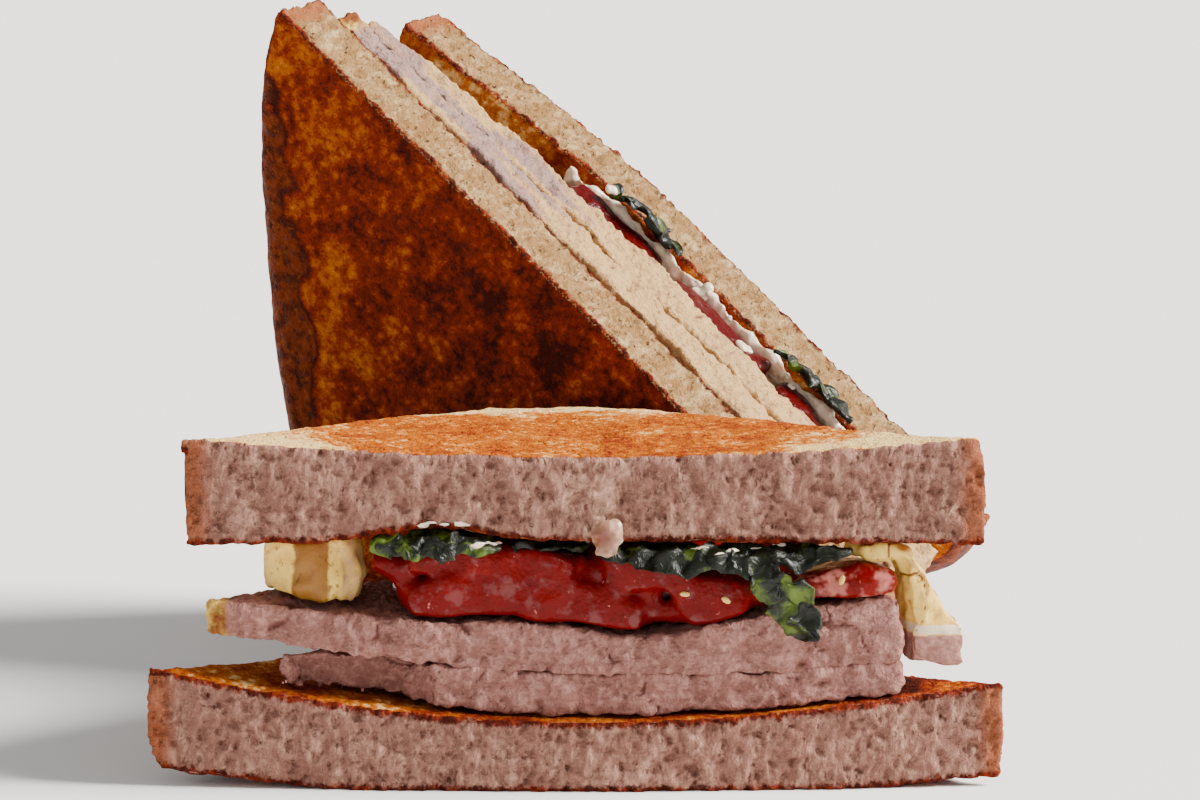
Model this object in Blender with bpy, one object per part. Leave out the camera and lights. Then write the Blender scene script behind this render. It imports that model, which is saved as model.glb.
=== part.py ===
"""A toasted turkey sandwich cut corner to corner: one half lies flat with its cut face to the front (-Y), the
other stands behind it on a crust side. Metres, +Z up, the ground at z = 0."""

import math

import bmesh
import bpy
from mathutils import Matrix, Vector, noise

MM = 0.001
GAP = 0.7 * MM
SLICE_GAP = 0.5 * MM

# One slice of the loaf, and the cut beside its diagonal, which leaves the lying half the smaller
SLICE_WIDTH = 133.5 * MM
SLICE_HEIGHT = 144.8 * MM
DIAGONAL = math.hypot(SLICE_WIDTH, SLICE_HEIGHT)
DIAGONAL_DEPTH = SLICE_WIDTH * SLICE_HEIGHT / DIAGONAL
CUT_SHIFT = 7.4 * MM
FRONT_DEPTH = DIAGONAL_DEPTH - CUT_SHIFT
REAR_DEPTH = DIAGONAL_DEPTH + CUT_SHIFT
CORNER_LEAN = (SLICE_HEIGHT**2 - SLICE_WIDTH**2) / (2 * SLICE_WIDTH * SLICE_HEIGHT)
CRUST_CORNER = 12 * MM
LOAF_CORNER = 31 * MM
CRUST_SWELL = 2.2 * MM
CRUST_ROUND = 4.0 * MM

# The lying half: the ends of each layer's cut, where its sides would meet it
FRONT_BOTTOM_ENDS = (-91.5 * MM, 88 * MM)
FRONT_TOP_ENDS = (-84 * MM, 84 * MM)
LOWER_TURKEY_ENDS = (-66 * MM, 67.6 * MM)
UPPER_TURKEY_ENDS = (-82 * MM, 68.8 * MM)
LOWER_TURKEY_CORNER = (4 * MM, 66 * MM)
UPPER_TURKEY_CORNER = (-4 * MM, 68 * MM)
FRONT_BREAD_CORNER_INSETS = (4 * MM, 7 * MM)
CUT_BOWS = (5 * MM, 1.5 * MM)
BREAD_RAGGED = 0.8 * MM
SHARP_END = 5 * MM
PRESSED_SPAN = 85 * MM
END_RISE = 7.2 * MM
LEFT_BREAD_RISE = 9.4 * MM
LEFT_TURKEY_RISE = 2.2 * MM
BACK_RISE = 2.0 * MM
BACK_SPAN = 70 * MM
CURLS = (3.6 * MM, 2.0 * MM)
DENT_DEPTH = 13.7 * MM
DENT_SPREAD = (19 * MM, 11 * MM)

# Heights in the lying half, at the middle of its cut face
BREAD_BELOW = 14.6 * MM
TURKEY_SLICE = 9.2 * MM
TURKEY_TOP = 34.4 * MM
FILLING_TOP = 51.6 * MM
BREAD_ABOVE = 17.4 * MM
BACK_SLOPE = 0.045
TOMATO_SLICE = 8.4 * MM
TOMATO_THIN = 5.2 * MM
TOMATO_WEDGE = 9.5 * MM
TOMATO_RIM = 7 * MM
GREENS = 2.8 * MM
DRIP_ENDS = (48.6 * MM, 58 * MM)

# The browned ends of the turkey: one under the bread at the left, one folded down past the slices at the right
LEFT_END_CENTRE = (-55.6 * MM, 11.5 * MM)
LEFT_END_RADIUS = 10.6 * MM
RIGHT_END_STOPS = (57, 60, 63, 65.6, 66.6, 67.4, 68.2, 70, 72.5, 75, 76.8, 77.8)
RIGHT_END_FOLD = (66.4 * MM, 68.2 * MM)
RIGHT_END_REACH = (1.6 * MM, 12 * MM)
RIGHT_END_SLANT = 4 * MM
RIGHT_END_FOOT = 25.5 * MM
RIGHT_END_SLOPE = 16 * MM

# The standing half: its layers' thickness from the outer toasted face inwards, and how far they stop inside it
REAR_BREAD = 17.0 * MM
REAR_TURKEY = 10.6 * MM
REAR_TOMATO = 8.0 * MM
REAR_SAUCE = 3.8 * MM
REAR_FAR_INSET = 1.5 * MM
REAR_TURKEY_INSETS = (5 * MM, 7.5 * MM)
NEAR_TIPS = (7 * MM, 0)
FAR_TIPS = (-3 * MM, -7 * MM)
SHOULDER_START = 20 * MM
SHOULDER_LENGTH = 50 * MM
SHOULDER_BULGE = 4.5 * MM
PINCH_START = -105 * MM
PINCH_SPAN = 90 * MM
PINCHED_TURKEY = 0.6
PINCHED_TOMATO = 0.1

# Where the standing half is: its right-angled corner, and its turns about the upright and in its own plane
REAR_CORNER = (-56 * MM, 101.7 * MM)
REAR_YAW = math.radians(27)
REAR_ROLL = math.radians(8)
REAR_REST = (11.5 * MM, 72.5 * MM)

LEAF_THICKNESS = 0.9 * MM
STEP_WIDTH = 7 * MM


def clear_scene():
    for obj in list(bpy.data.objects):
        bpy.data.objects.remove(obj, do_unlink=True)


def material(name, colour, roughness):
    mat = bpy.data.materials.new(name)
    mat.use_nodes = True
    shader = mat.node_tree.nodes["Principled BSDF"]
    shader.inputs["Base Color"].default_value = (*colour, 1)
    shader.inputs["Roughness"].default_value = roughness
    shader.inputs["Metallic"].default_value = 0.0
    return mat


def smooth(t):
    """0 below 0, 1 above 1, and an even curve between."""
    t = min(max(t, 0.0), 1.0)
    return t * t * (3 - 2 * t)


def bump(x, y, centre, spread):
    """A soft round rise of height 1 about the centre."""
    dx = (x - centre[0]) / spread[0]
    dy = (y - centre[1]) / spread[1]
    return math.exp(-dx * dx - dy * dy)


def rough(x, y, z, size, seed):
    """Smooth noise from -1 to 1 with features of this size."""
    return noise.noise(Vector((x / size + seed * 7.31, y / size - seed * 3.17, z / size + seed)))


def shoulder_arc(tip, corner, arc):
    """The loaf's rounded shoulder in place of a rounded end: it leaves the cut well inside the tip, and joins the
    side where that is straight."""
    tip = Vector((tip, 0))
    way = (corner - tip).normalized()
    start, stop = tip + Vector((SHOULDER_START, 0)), tip + way * SHOULDER_LENGTH
    middle = (start + stop) / 2 + Vector((-way.y, way.x)) * SHOULDER_BULGE
    points = []
    for i in range(arc + 1):
        t = i / arc
        spot = start * (1 - t) ** 2 + middle * 2 * t * (1 - t) + stop * t * t
        points.append((spot.x, spot.y, min(1, 1.2 * t)))
    return points


def half_outline(
    ends, corner, end_radii, back_radius, swell=1 * MM, bow=0.0, set_back=None, overhang=0.0, shoulder=False,
    cut=20, side=8,
):
    """The outline of half a slice: (x, y, crust) points anticlockwise from the left end of the cut, which
    runs along X and bows towards -Y. Its sides would meet the cut at the two ends. Each end is part of a
    rounded corner whose centre lies this overhang behind the cut, and crust is 0 on the cut and 1 on the
    sides. A cut may be set back at its left: (from which x, by how much). The left end may be the loaf's
    shoulder."""
    left, right = ends
    corner = Vector(corner)
    arc = 4
    step_from, step = set_back or (left, 0.0)

    def end_arc(tip, direction, end_radius):
        """The rounded end beside this tip, from the cut to where the side goes straight."""
        slope = math.atan2(corner.y, (tip - corner.x) * direction)
        centre = tip - direction * (overhang / math.tan(slope) + end_radius / math.sin(slope))
        first = -math.asin(overhang / end_radius)
        angles = [first + (math.pi / 2 - slope - first) * i / arc for i in range(arc + 1)]
        return [
            (
                centre + direction * end_radius * math.cos(angle),
                overhang + end_radius * math.sin(angle),
                min(1, 1.2 * i / arc),
            )
            for i, angle in enumerate(angles)
        ]

    left_arc = shoulder_arc(left, corner, arc) if shoulder else end_arc(left, -1, end_radii[0])
    right_arc = end_arc(right, 1, end_radii[1])
    first, last = left_arc[0][0], right_arc[0][0]
    points = []
    for i in range(cut):
        t = i / cut
        x = first + (last - first) * t
        behind = step * smooth((step_from - x) / STEP_WIDTH) * smooth((x - first) / STEP_WIDTH)
        points.append((x, behind - bow * math.sin(math.pi * t), 0.0))
    points += right_arc

    right_way = (corner - Vector((right, 0))).normalized()
    left_way = (Vector((left, 0)) - corner).normalized()
    bend = right_way.angle(left_way)
    reach = back_radius * math.tan(bend / 2)

    def swollen_side(start, stop):
        way = (stop - start).normalized()
        out = Vector((way.y, -way.x))
        steps = [i / side for i in range(side + 1)]
        spots = [start.lerp(stop, t) + out * swell * math.sin(math.pi * t) for t in steps]
        return [(spot.x, spot.y, 1.0) for spot in spots]

    right_stop, left_start = corner - right_way * reach, corner + left_way * reach
    points += swollen_side(Vector(right_arc[-1][:2]), right_stop)[1:]
    out = Vector((right_way.y, -right_way.x))
    back_centre = right_stop - out * back_radius
    back = 5
    for i in range(1, back):
        angle = math.atan2(out.y, out.x) + bend * i / back
        spot = back_centre + back_radius * Vector((math.cos(angle), math.sin(angle)))
        points.append((spot.x, spot.y, 1.0))
    points += swollen_side(left_start, Vector(left_arc[-1][:2]))
    points += [left_arc[i] for i in range(arc - 1, 0, -1)]
    return points


def rear_outline(inset, end_radii, back_radius, tips=(0, 0), **more):
    """The outline of a layer of the standing half that stops this far inside its crust, with its tips moved out."""
    shorter = math.sqrt(2) * inset
    reach = DIAGONAL * REAR_DEPTH / DIAGONAL_DEPTH / 2 - shorter
    corner = (CORNER_LEAN * REAR_DEPTH, REAR_DEPTH - shorter)
    return half_outline((-reach - tips[0], reach + tips[1]), corner, end_radii, back_radius, **more)


def disc_outline(centre, radius, squash=1.0, chord=8, arc=20):
    """A round slice cut off along y = 0 where it reaches that far, else whole."""
    cx, cy = centre
    if cy >= radius:
        return [
            (cx + radius * math.cos(a), cy + radius * squash * math.sin(a), 1.0)
            for a in (2 * math.pi * i / (arc + 4) for i in range(arc + 4))
        ]
    half = math.acos(max(-1.0, min(1.0, cy / (radius * squash))))
    first, last = -math.pi / 2 + half, 1.5 * math.pi - half
    reach = radius * math.cos(first)
    points = [(cx - reach + 2 * reach * i / chord, 0.0, 0.0) for i in range(chord)]
    for i in range(arc):
        angle = first + (last - first) * i / arc
        points.append((cx + radius * math.cos(angle), cy + radius * squash * math.sin(angle), float(i > 0)))
    return points


def strip_outline(stops, near, far, slant):
    """A strip seen from above: its near and far edges have points at these stops, and it slants to the left."""
    front = [(x, near, 1.0) for x in stops]
    back = [(x - slant, far, 1.0) for x in reversed(stops)]
    return front + back


def slab(
    name, mat, outline, low, high, seed, rounding, ragged, cut_ragged=0.5 * MM, levels=4, rings=(0.82, 0.5)
):
    """A closed layer between the heights low(x, y) and high(x, y). Its crust sides are rounded by this much,
    and its sides wander by `ragged`, or by `cut_ragged` along the cut."""
    count = len(outline)
    mid = Vector((sum(p[0] for p in outline) / count, sum(p[1] for p in outline) / count))
    mesh = bmesh.new()

    def point(x, y, z):
        return mesh.verts.new((x, y, z))

    def outward(i):
        before, after = outline[i - 1], outline[(i + 1) % count]
        way = Vector((after[0] - before[0], after[1] - before[1])).normalized()
        return Vector((way.y, -way.x))

    walls = []
    for level in range(levels + 1):
        t = level / levels
        ring = []
        for i, (x, y, crust) in enumerate(outline):
            out = outward(i)
            inset = rounding * min(crust, 1) * (1 - math.sqrt(max(0.0, 1 - (2 * t - 1) ** 2 * 0.96)))
            height = low(x, y) * (1 - t) + high(x, y) * t
            wander = ragged if crust else cut_ragged
            broad, fine = rough(x, y, height, 9 * MM, seed), rough(x, y, height, 4 * MM, seed + 3)
            push = wander * (broad + 0.5 * fine)
            spot = Vector((x, y)) + out * (push - inset)
            ring.append(point(spot.x, spot.y, height))
        walls.append(ring)
    for lower, upper in zip(walls, walls[1:]):
        for i in range(count):
            j = (i + 1) % count
            mesh.faces.new((lower[i], lower[j], upper[j], upper[i]))
    for edge, surface, top in ((walls[0], low, False), (walls[-1], high, True)):
        ring = edge
        for share in rings:
            inner = []
            for x, y, _ in outline:
                spot = mid + (Vector((x, y)) - mid) * share
                inner.append(point(spot.x, spot.y, surface(spot.x, spot.y)))
            for i in range(count):
                j = (i + 1) % count
                quad = (ring[i], ring[j], inner[j], inner[i])
                mesh.faces.new(quad if top else tuple(reversed(quad)))
            ring = inner
        hub = point(mid.x, mid.y, surface(mid.x, mid.y))
        for i in range(count):
            j = (i + 1) % count
            mesh.faces.new((ring[i], ring[j], hub) if top else (ring[j], ring[i], hub))
    bmesh.ops.triangulate(mesh, faces=mesh.faces[:])
    return finish(name, mesh, mat)


def finish(name, mesh, mat):
    data = bpy.data.meshes.new(name)
    mesh.to_mesh(data)
    mesh.free()
    data.materials.append(mat)
    data.shade_smooth()
    data.set_sharp_from_angle(angle=math.radians(50))
    obj = bpy.data.objects.new(name, data)
    bpy.context.collection.objects.link(obj)
    return obj


def leaf(name, mat, route, half_width, lobes, lobe_depth, ripple, side, seed, droop=0.0, along=14, across=4):
    """A thin wavy leaf along a route of control points. Its edge is lobed, its near side droops by this much,
    and both faces are split alike."""
    stops = [Vector(p) * MM for p in route]

    def at(t):
        place = t * (len(stops) - 1)
        i = min(int(place), len(stops) - 2)
        f = place - i
        before = stops[max(i - 1, 0)]
        after = stops[min(i + 2, len(stops) - 1)]
        a, b = stops[i], stops[i + 1]
        return 0.5 * (
            2 * a + (b - before) * f + (2 * before - 5 * a + 4 * b - after) * f * f
            + (3 * a - before - 3 * b + after) * f * f * f
        )

    mesh = bmesh.new()
    sheets = ([], [])
    for i in range(along + 1):
        t = i / along
        centre = at(t)
        way = (at(min(t + 0.02, 1.0)) - at(max(t - 0.02, 0.0))).normalized()
        across_way = (Vector(side) - way * Vector(side).dot(way)).normalized()
        normal = across_way.cross(way).normalized()
        edge = math.sin(math.pi * (0.06 + 0.9 * t)) ** 0.7
        width = half_width * MM * edge * (1 - lobe_depth * (0.5 + 0.5 * math.cos(2 * math.pi * lobes * t)))
        rows = ([], [])
        for j in range(across + 1):
            s = 2 * j / across - 1
            wave = ripple * MM * s * s * math.sin(2 * math.pi * lobes * t + seed + s)
            spot = centre + across_way * width * s + normal * wave
            spot.z -= droop * MM * min(s, 0.0) ** 2 * edge
            for row, way_out in zip(rows, (0.5, -0.5)):
                row.append(mesh.verts.new(spot + normal * LEAF_THICKNESS * way_out))
        for sheet, row in zip(sheets, rows):
            sheet.append(row)
    upper, lower = sheets
    for i in range(along):
        for j in range(across):
            a, b, c, d = upper[i][j], upper[i + 1][j], upper[i + 1][j + 1], upper[i][j + 1]
            mesh.faces.new((a, b, c))
            mesh.faces.new((a, c, d))
            a, b, c, d = lower[i][j], lower[i + 1][j], lower[i + 1][j + 1], lower[i][j + 1]
            mesh.faces.new((c, b, a))
            mesh.faces.new((d, c, a))
    rim = [(i, 0) for i in range(along)] + [(along, j) for j in range(across)]
    rim += [(i, across) for i in range(along, 0, -1)] + [(0, j) for j in range(across, 0, -1)]
    for (i, j), (k, m) in zip(rim, rim[1:] + rim[:1]):
        mesh.faces.new((upper[k][m], upper[i][j], lower[i][j]))
        mesh.faces.new((upper[k][m], lower[i][j], lower[k][m]))
    bmesh.ops.recalc_face_normals(mesh, faces=mesh.faces[:])
    return finish(name, mesh, mat)


def over(surface, height):
    return lambda x, y: surface(x, y) + height


def level(height):
    return lambda x, y: height


# The lying half: its surfaces from the ground up, then its pieces


def pressed(x, rise_left, rise_right):
    """How much thicker the lower layers are towards the ends of the cut than at its middle."""
    return (rise_left if x < 0 else rise_right) * (abs(x) / PRESSED_SPAN) ** 1.9


def front_underside(x, y):
    """Flat on the ground, and curled up a little at both ends."""
    left, right = CURLS
    return left * smooth((-x - 50 * MM) / (38 * MM)) + right * smooth((x - 54 * MM) / (32 * MM))


def front_turkey_floor(x, y):
    rise = pressed(x, END_RISE, END_RISE) + BACK_RISE * smooth(y / BACK_SPAN)
    return BREAD_BELOW + rise + LEFT_TURKEY_RISE * smooth(-x / BACK_SPAN)


def front_bread_top(x, y):
    """Pressed down at the middle of the cut, and dented where the other half leans on its crust."""
    dent = DENT_DEPTH * bump(x, y, REAR_REST, DENT_SPREAD)
    rise = pressed(x, LEFT_BREAD_RISE, END_RISE) + BACK_RISE * smooth(y / BACK_SPAN)
    return BREAD_BELOW + rise - dent


def front_turkey_seam(x, y):
    return front_turkey_floor(x, y) + TURKEY_SLICE - 1.8 * MM * smooth(x / (50 * MM))


def front_turkey_under(x, y):
    """The top of the lower slice, which comes away from the upper one towards the left."""
    return front_turkey_seam(x, y) - SLICE_GAP / 2 - 2.2 * MM * smooth((-x - 26 * MM) / (22 * MM))


def front_turkey_top(x, y):
    left = 4.0 * MM * smooth((-x - 28 * MM) / (46 * MM))
    right = 5.0 * MM * smooth((x - 20 * MM) / (44 * MM))
    dip = 3.2 * MM * bump(x, y, (11 * MM, 0), (15 * MM, 24 * MM))
    return TURKEY_TOP + left + right - dip


def front_tomato_floor(x, y):
    return front_turkey_top(x, y) + 2.1 * GAP


def front_filling_top(x, y):
    """The underside of the upper bread, which a leaf holds up a little."""
    lift = 3.4 * MM * bump(x, y, (-31 * MM, 0), (13 * MM, 9 * MM))
    return FILLING_TOP - 0.9 * MM * (x / (80 * MM)) ** 2 + lift - BACK_SLOPE * y


def front_folded_low(x, y):
    """The underside of the browned right end: over the tomato, then down past the ends of the slices."""
    lying = front_tomato_floor(x, y) + TOMATO_THIN + GAP
    start, stop = RIGHT_END_FOLD
    past = smooth((x + y * RIGHT_END_SLANT / RIGHT_END_REACH[1] - start) / (stop - start))
    return lying * (1 - past) + RIGHT_END_FOOT * past


def front_folded_high(x, y):
    """Held under the bread, then sloping down outside it."""
    along = x + y * RIGHT_END_SLANT / RIGHT_END_REACH[1]
    fall = RIGHT_END_SLOPE * smooth((along - 65 * MM) / (13 * MM))
    return front_filling_top(x, y) - GAP - fall


def front_bread_above_top(x, y):
    crown = 1.4 * MM * bump(x, y, (5 * MM, 38 * MM), (60 * MM, 30 * MM))
    raised_ends = 3.8 * MM * (x / (80 * MM)) ** 2
    return FILLING_TOP + raised_ends - 1.2 * BACK_SLOPE * y + BREAD_ABOVE + crown


def build_front_bread(looks):
    below, above = (
        half_outline(
            ends, (-CORNER_LEAN * FRONT_DEPTH, FRONT_DEPTH - inset), (SHARP_END, SHARP_END), LOAF_CORNER,
            CRUST_SWELL, bow=bow,
        )
        for ends, inset, bow in zip((FRONT_BOTTOM_ENDS, FRONT_TOP_ENDS), FRONT_BREAD_CORNER_INSETS, CUT_BOWS)
    )
    sides = dict(rounding=CRUST_ROUND, ragged=BREAD_RAGGED)
    slab("front_bread_bottom", looks["bread"], below, front_underside, front_bread_top, 1, **sides)
    slab("front_bread_top", looks["bread"], above, front_filling_top, front_bread_above_top, 2, **sides)


def build_front_turkey(looks):
    """Two slices, the lower one set back at its left, and the browned ends that stick out at both sides."""
    lower = half_outline(
        LOWER_TURKEY_ENDS, LOWER_TURKEY_CORNER, (8 * MM, 8 * MM), 16 * MM, bow=1.5 * MM,
        set_back=(-32 * MM, 7 * MM), cut=24, side=5,
    )
    slab(
        "front_turkey_lower", looks["turkey"], lower, over(front_turkey_floor, GAP), front_turkey_under, 4,
        1.5 * MM, 1.6 * MM, 1.2 * MM, levels=3, rings=(0.6,),
    )
    upper = half_outline(
        UPPER_TURKEY_ENDS, UPPER_TURKEY_CORNER, (9 * MM, 9 * MM), 18 * MM, bow=1.5 * MM, cut=22, side=5
    )
    slab(
        "front_turkey_upper", looks["turkey"], upper, over(front_turkey_seam, SLICE_GAP / 2), front_turkey_top,
        6, 2.0 * MM, 1.8 * MM, 1.3 * MM, levels=3, rings=(0.7, 0.4),
    )
    left_end = disc_outline(LEFT_END_CENTRE, LEFT_END_RADIUS, squash=0.85, arc=16)
    slab(
        "front_turkey_edge_left", looks["roast"], left_end, front_tomato_floor, over(front_filling_top, -GAP),
        21, 1.2 * MM, 1.6 * MM, 1.2 * MM, levels=5, rings=(0.5,),
    )
    stops = [stop * MM for stop in RIGHT_END_STOPS]
    right_end = strip_outline(stops, *RIGHT_END_REACH, RIGHT_END_SLANT)
    slab(
        "front_turkey_edge_right", looks["roast"], right_end, front_folded_low, front_folded_high, 22,
        0.8 * MM, 0.5 * MM, rings=(0.8, 0.5, 0.2),
    )


def build_front_tomatoes(looks):
    """Round slices, none higher than the room that the leaves and sauce leave under the bread."""
    upper_floor = over(front_tomato_floor, TOMATO_SLICE + GAP)

    def leaning(x, y):
        """Lies on the lower slice at its left, and comes down to the turkey beside it."""
        return front_tomato_floor(x, y) + (TOMATO_SLICE + GAP) * smooth((22 * MM - x) / (6 * MM))

    slices = {
        "front_tomato_lower": ((-12, 14), 27, front_tomato_floor, TOMATO_SLICE),
        "front_tomato_upper": ((-19, 6), 17, upper_floor, TOMATO_THIN),
        "front_tomato_middle": ((18.5, 10), 17, leaning, TOMATO_WEDGE),
        "front_tomato_right": ((51.2, 3), 12, front_tomato_floor, TOMATO_THIN),
        "front_tomato_back": ((17, 47), 13, front_tomato_floor, TOMATO_THIN),
    }
    for seed, (name, (centre, radius, low, thickness)) in enumerate(slices.items(), 11):

        def high(x, y):
            """Thinner towards the slice's rim."""
            off = math.hypot(x - centre[0] * MM, y - centre[1] * MM)
            rim = smooth((off - radius * MM + TOMATO_RIM) / TOMATO_RIM)
            return min(low(x, y) + thickness * (1 - 0.4 * rim), front_filling_top(x, y) - GREENS)

        outline = disc_outline((centre[0] * MM, centre[1] * MM), radius * MM)
        slab(name, looks["tomato"], outline, low, high, seed, 1.2 * MM, 0.6 * MM, levels=3, rings=(0.6,))


def build_front_greens(looks):
    """Leaves between the tomato and the bread, with their near edges drooping over the cut."""
    leaves = {
        "front_leaf_left": (((-44, 0), (-36, -1.4), (-27, -1.6), (-18, 0)), 5.0, 4, 0.4, 4.5),
        "front_leaf_dark": (((-15.5, 2.4), (-8, 2), (0, 2.4)), 3.2, 3, 0.3, 0.2),
        "front_leaf_right": (((2, 0), (18, -1.5), (34, -1.6), (54, 0)), 4.6, 5, 0.3, 4.0),
    }
    under = 1.65
    for seed, (name, (spots, width, lobes, depth, droop)) in enumerate(leaves.items()):
        route = [(x, y, front_filling_top(x * MM, max(y, 0) * MM) / MM - under) for x, y in spots]
        leaf(name, looks["leaf"], route, width, lobes, depth, 0.35, (0, 1, 0), seed, droop)
    hanging = ((35, -6.4, 46.4), (39.5, -6.8, 42.6), (43.5, -5.8, 37), (45.5, -5.0, 31.5))
    leaf("front_leaf_hanging", looks["leaf"], hanging, 6.0, 3, 0.4, 0.8, (1, 0, 0.2), 5)


def build_front_sauce(looks):
    sides = 12
    turns = [2 * math.pi * i / sides for i in range(sides)]
    drip = [((4.5 + 4.2 * math.cos(a)) * MM, (-4.2 + 1.6 * math.sin(a)) * MM, 1.0) for a in turns]
    slab(
        "front_mayonnaise_drip", looks["sauce"], drip, level(DRIP_ENDS[0]), level(DRIP_ENDS[1]), 31,
        1.4 * MM, 0.3 * MM, levels=5, rings=(0.5,),
    )
    sheet = disc_outline((-2 * MM, 24 * MM), 24 * MM, squash=0.62)
    slab(
        "front_mayonnaise", looks["sauce"], sheet, over(front_filling_top, -1.7 * MM),
        over(front_filling_top, -0.6 * MM), 32, 0.3 * MM, 1.5 * MM, levels=2, rings=(0.5,),
    )


# The standing half: the same layers, laid out flat from the outer toasted face, then set up on a crust side


def rear_bread_inside(x, y):
    return REAR_BREAD + 1.2 * MM * (x / (85 * MM)) ** 2


def rear_room(x):
    """0 at the upper tip, where the slices of bread are pinched together, and 1 where they are fully apart."""
    return smooth((x - PINCH_START) / PINCH_SPAN)


def rear_turkey_thickness(x):
    return REAR_TURKEY * (PINCHED_TURKEY + (1 - PINCHED_TURKEY) * rear_room(x))


def rear_turkey_seam(x, y):
    return rear_bread_inside(x, y) + GAP + rear_turkey_thickness(x) + 0.8 * MM * math.sin(x / (19 * MM))


def rear_turkey_top(x, y):
    wave = 0.8 * MM * math.sin(x / (31 * MM) + 1)
    return rear_bread_inside(x, y) + 2 * (GAP + rear_turkey_thickness(x)) + wave


def rear_tomato_floor(x, y):
    return rear_turkey_top(x, y) + GAP


def rear_sauce_floor(x, y):
    return rear_tomato_floor(x, y) + REAR_TOMATO + GAP


def rear_filling_top(x, y):
    """The inside of the far bread, which leans in a little towards the crust."""
    moist = (REAR_TOMATO + REAR_SAUCE) * (PINCHED_TOMATO + (1 - PINCHED_TOMATO) * rear_room(x))
    return rear_bread_inside(x, y) + 2 * rear_turkey_thickness(x) + moist + 5 * GAP - 0.04 * y


def rear_bread_back(x, y):
    return rear_filling_top(x, y) + REAR_BREAD + 0.6 * MM * bump(x, y, (0, 30 * MM), (50 * MM, 40 * MM))


def build_rear_bread(looks):
    sides = dict(
        end_radii=(CRUST_CORNER, CRUST_CORNER), back_radius=CRUST_CORNER, swell=3.5 * MM, bow=0.5 * MM,
        overhang=CUT_SHIFT, shoulder=True,
    )
    outer = rear_outline(0, tips=NEAR_TIPS, **sides)
    inner = rear_outline(REAR_FAR_INSET, tips=FAR_TIPS, **sides)
    return [
        slab("rear_bread_outer", looks["bread"], outer, level(0.0), rear_bread_inside, 41, CRUST_ROUND,
             BREAD_RAGGED),
        slab("rear_bread_inner", looks["bread"], inner, rear_filling_top, rear_bread_back, 44, CRUST_ROUND,
             BREAD_RAGGED, rings=(0.88, 0.7, 0.4)),
    ]


def build_rear_turkey(looks):
    sides = dict(
        end_radii=(12 * MM, 9 * MM), back_radius=16 * MM, bow=1.5 * MM, overhang=5 * MM, side=5
    )
    outer, inner = (rear_outline(inset, **sides) for inset in REAR_TURKEY_INSETS)
    shape = dict(rounding=1.5 * MM, ragged=1.6 * MM, cut_ragged=1.4 * MM, levels=3, rings=(0.85, 0.6, 0.3))
    return [
        slab("rear_turkey_outer", looks["turkey"], outer, over(rear_bread_inside, GAP),
             over(rear_turkey_seam, -GAP / 2), 42, **shape),
        slab("rear_turkey_inner", looks["turkey"], inner, over(rear_turkey_seam, GAP / 2), rear_turkey_top, 43,
             **shape),
    ]


def build_rear_filling(looks):
    pieces = []
    discs = ((-16, 8, 15), (15.5, 5, 15.2), (49, 6, 15), (0, 42, 18))
    for number, (x, y, radius) in enumerate(discs, 1):
        outline = disc_outline((x * MM, y * MM), radius * MM)
        pieces.append(
            slab(f"rear_tomato_{number}", looks["tomato"], outline, rear_tomato_floor,
                 over(rear_tomato_floor, REAR_TOMATO), 50 + number, 1.2 * MM, 0.6 * MM, levels=3, rings=(0.6,))
        )
    sheet = half_outline(
        (-36 * MM, 76 * MM), (12 * MM, 48 * MM), (6 * MM, 6 * MM), 14 * MM, bow=1 * MM, cut=22, side=5
    )
    pieces.append(
        slab("rear_mayonnaise", looks["sauce"], sheet, rear_sauce_floor, over(rear_sauce_floor, 1.4 * MM), 61,
             0.6 * MM, 1.6 * MM, 1.6 * MM, levels=2, rings=(0.5,))
    )
    for number, x in enumerate((-12, 40), 1):
        height = rear_sauce_floor(x * MM, 0) / MM
        route = ((x - 11, -3.6, height - 2), (x, -3.8, height + 0.5), (x + 11, -3.4, height - 1))
        name = f"rear_leaf_{number}"
        pieces.append(leaf(name, looks["leaf"], route, 4.5, 4, 0.4, 0.6, (0, 0.3, 1), 7 + number))
    return pieces


def stand_up(pieces):
    """Parents the pieces to an empty that sets them on their side, with the lowest point on the ground."""
    away = Vector((math.sin(REAR_YAW), math.cos(REAR_YAW), 0))
    across = Vector((math.cos(REAR_YAW), -math.sin(REAR_YAW), 0))
    up = Vector((0, 0, 1))
    lower_side = across * math.cos(REAR_ROLL) + up * math.sin(REAR_ROLL)
    upright_side = up * math.cos(REAR_ROLL) - across * math.sin(REAR_ROLL)
    along_cut = (SLICE_WIDTH * lower_side - SLICE_HEIGHT * upright_side) / DIAGONAL
    into_food = -(SLICE_HEIGHT * lower_side + SLICE_WIDTH * upright_side) / DIAGONAL
    turn = Matrix((along_cut, into_food, away)).transposed()
    corner = turn @ Vector((CORNER_LEAN * REAR_DEPTH, REAR_DEPTH, 0))
    lowest = min((turn @ vertex.co).z for piece in pieces for vertex in piece.data.vertices)
    holder = bpy.data.objects.new("rear_half", None)
    bpy.context.collection.objects.link(holder)
    holder.rotation_euler = turn.to_euler()
    holder.location = (REAR_CORNER[0] - corner.x, REAR_CORNER[1] - corner.y, -lowest)
    for piece in pieces:
        piece.parent = holder


def centre_on_ground():
    """Parents everything to an empty that puts the origin under the middle of the whole."""
    bpy.context.view_layer.update()
    solids = [obj for obj in bpy.data.objects if obj.type == "MESH"]
    spots = [obj.matrix_world @ vertex.co for obj in solids for vertex in obj.data.vertices]
    middle = [(min(spot[i] for spot in spots) + max(spot[i] for spot in spots)) / 2 for i in range(2)]
    tops = [obj for obj in bpy.data.objects if obj.parent is None]
    root = bpy.data.objects.new("sandwich", None)
    bpy.context.collection.objects.link(root)
    root.location = (-middle[0], -middle[1], 0)
    for obj in tops:
        obj.parent = root


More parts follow.
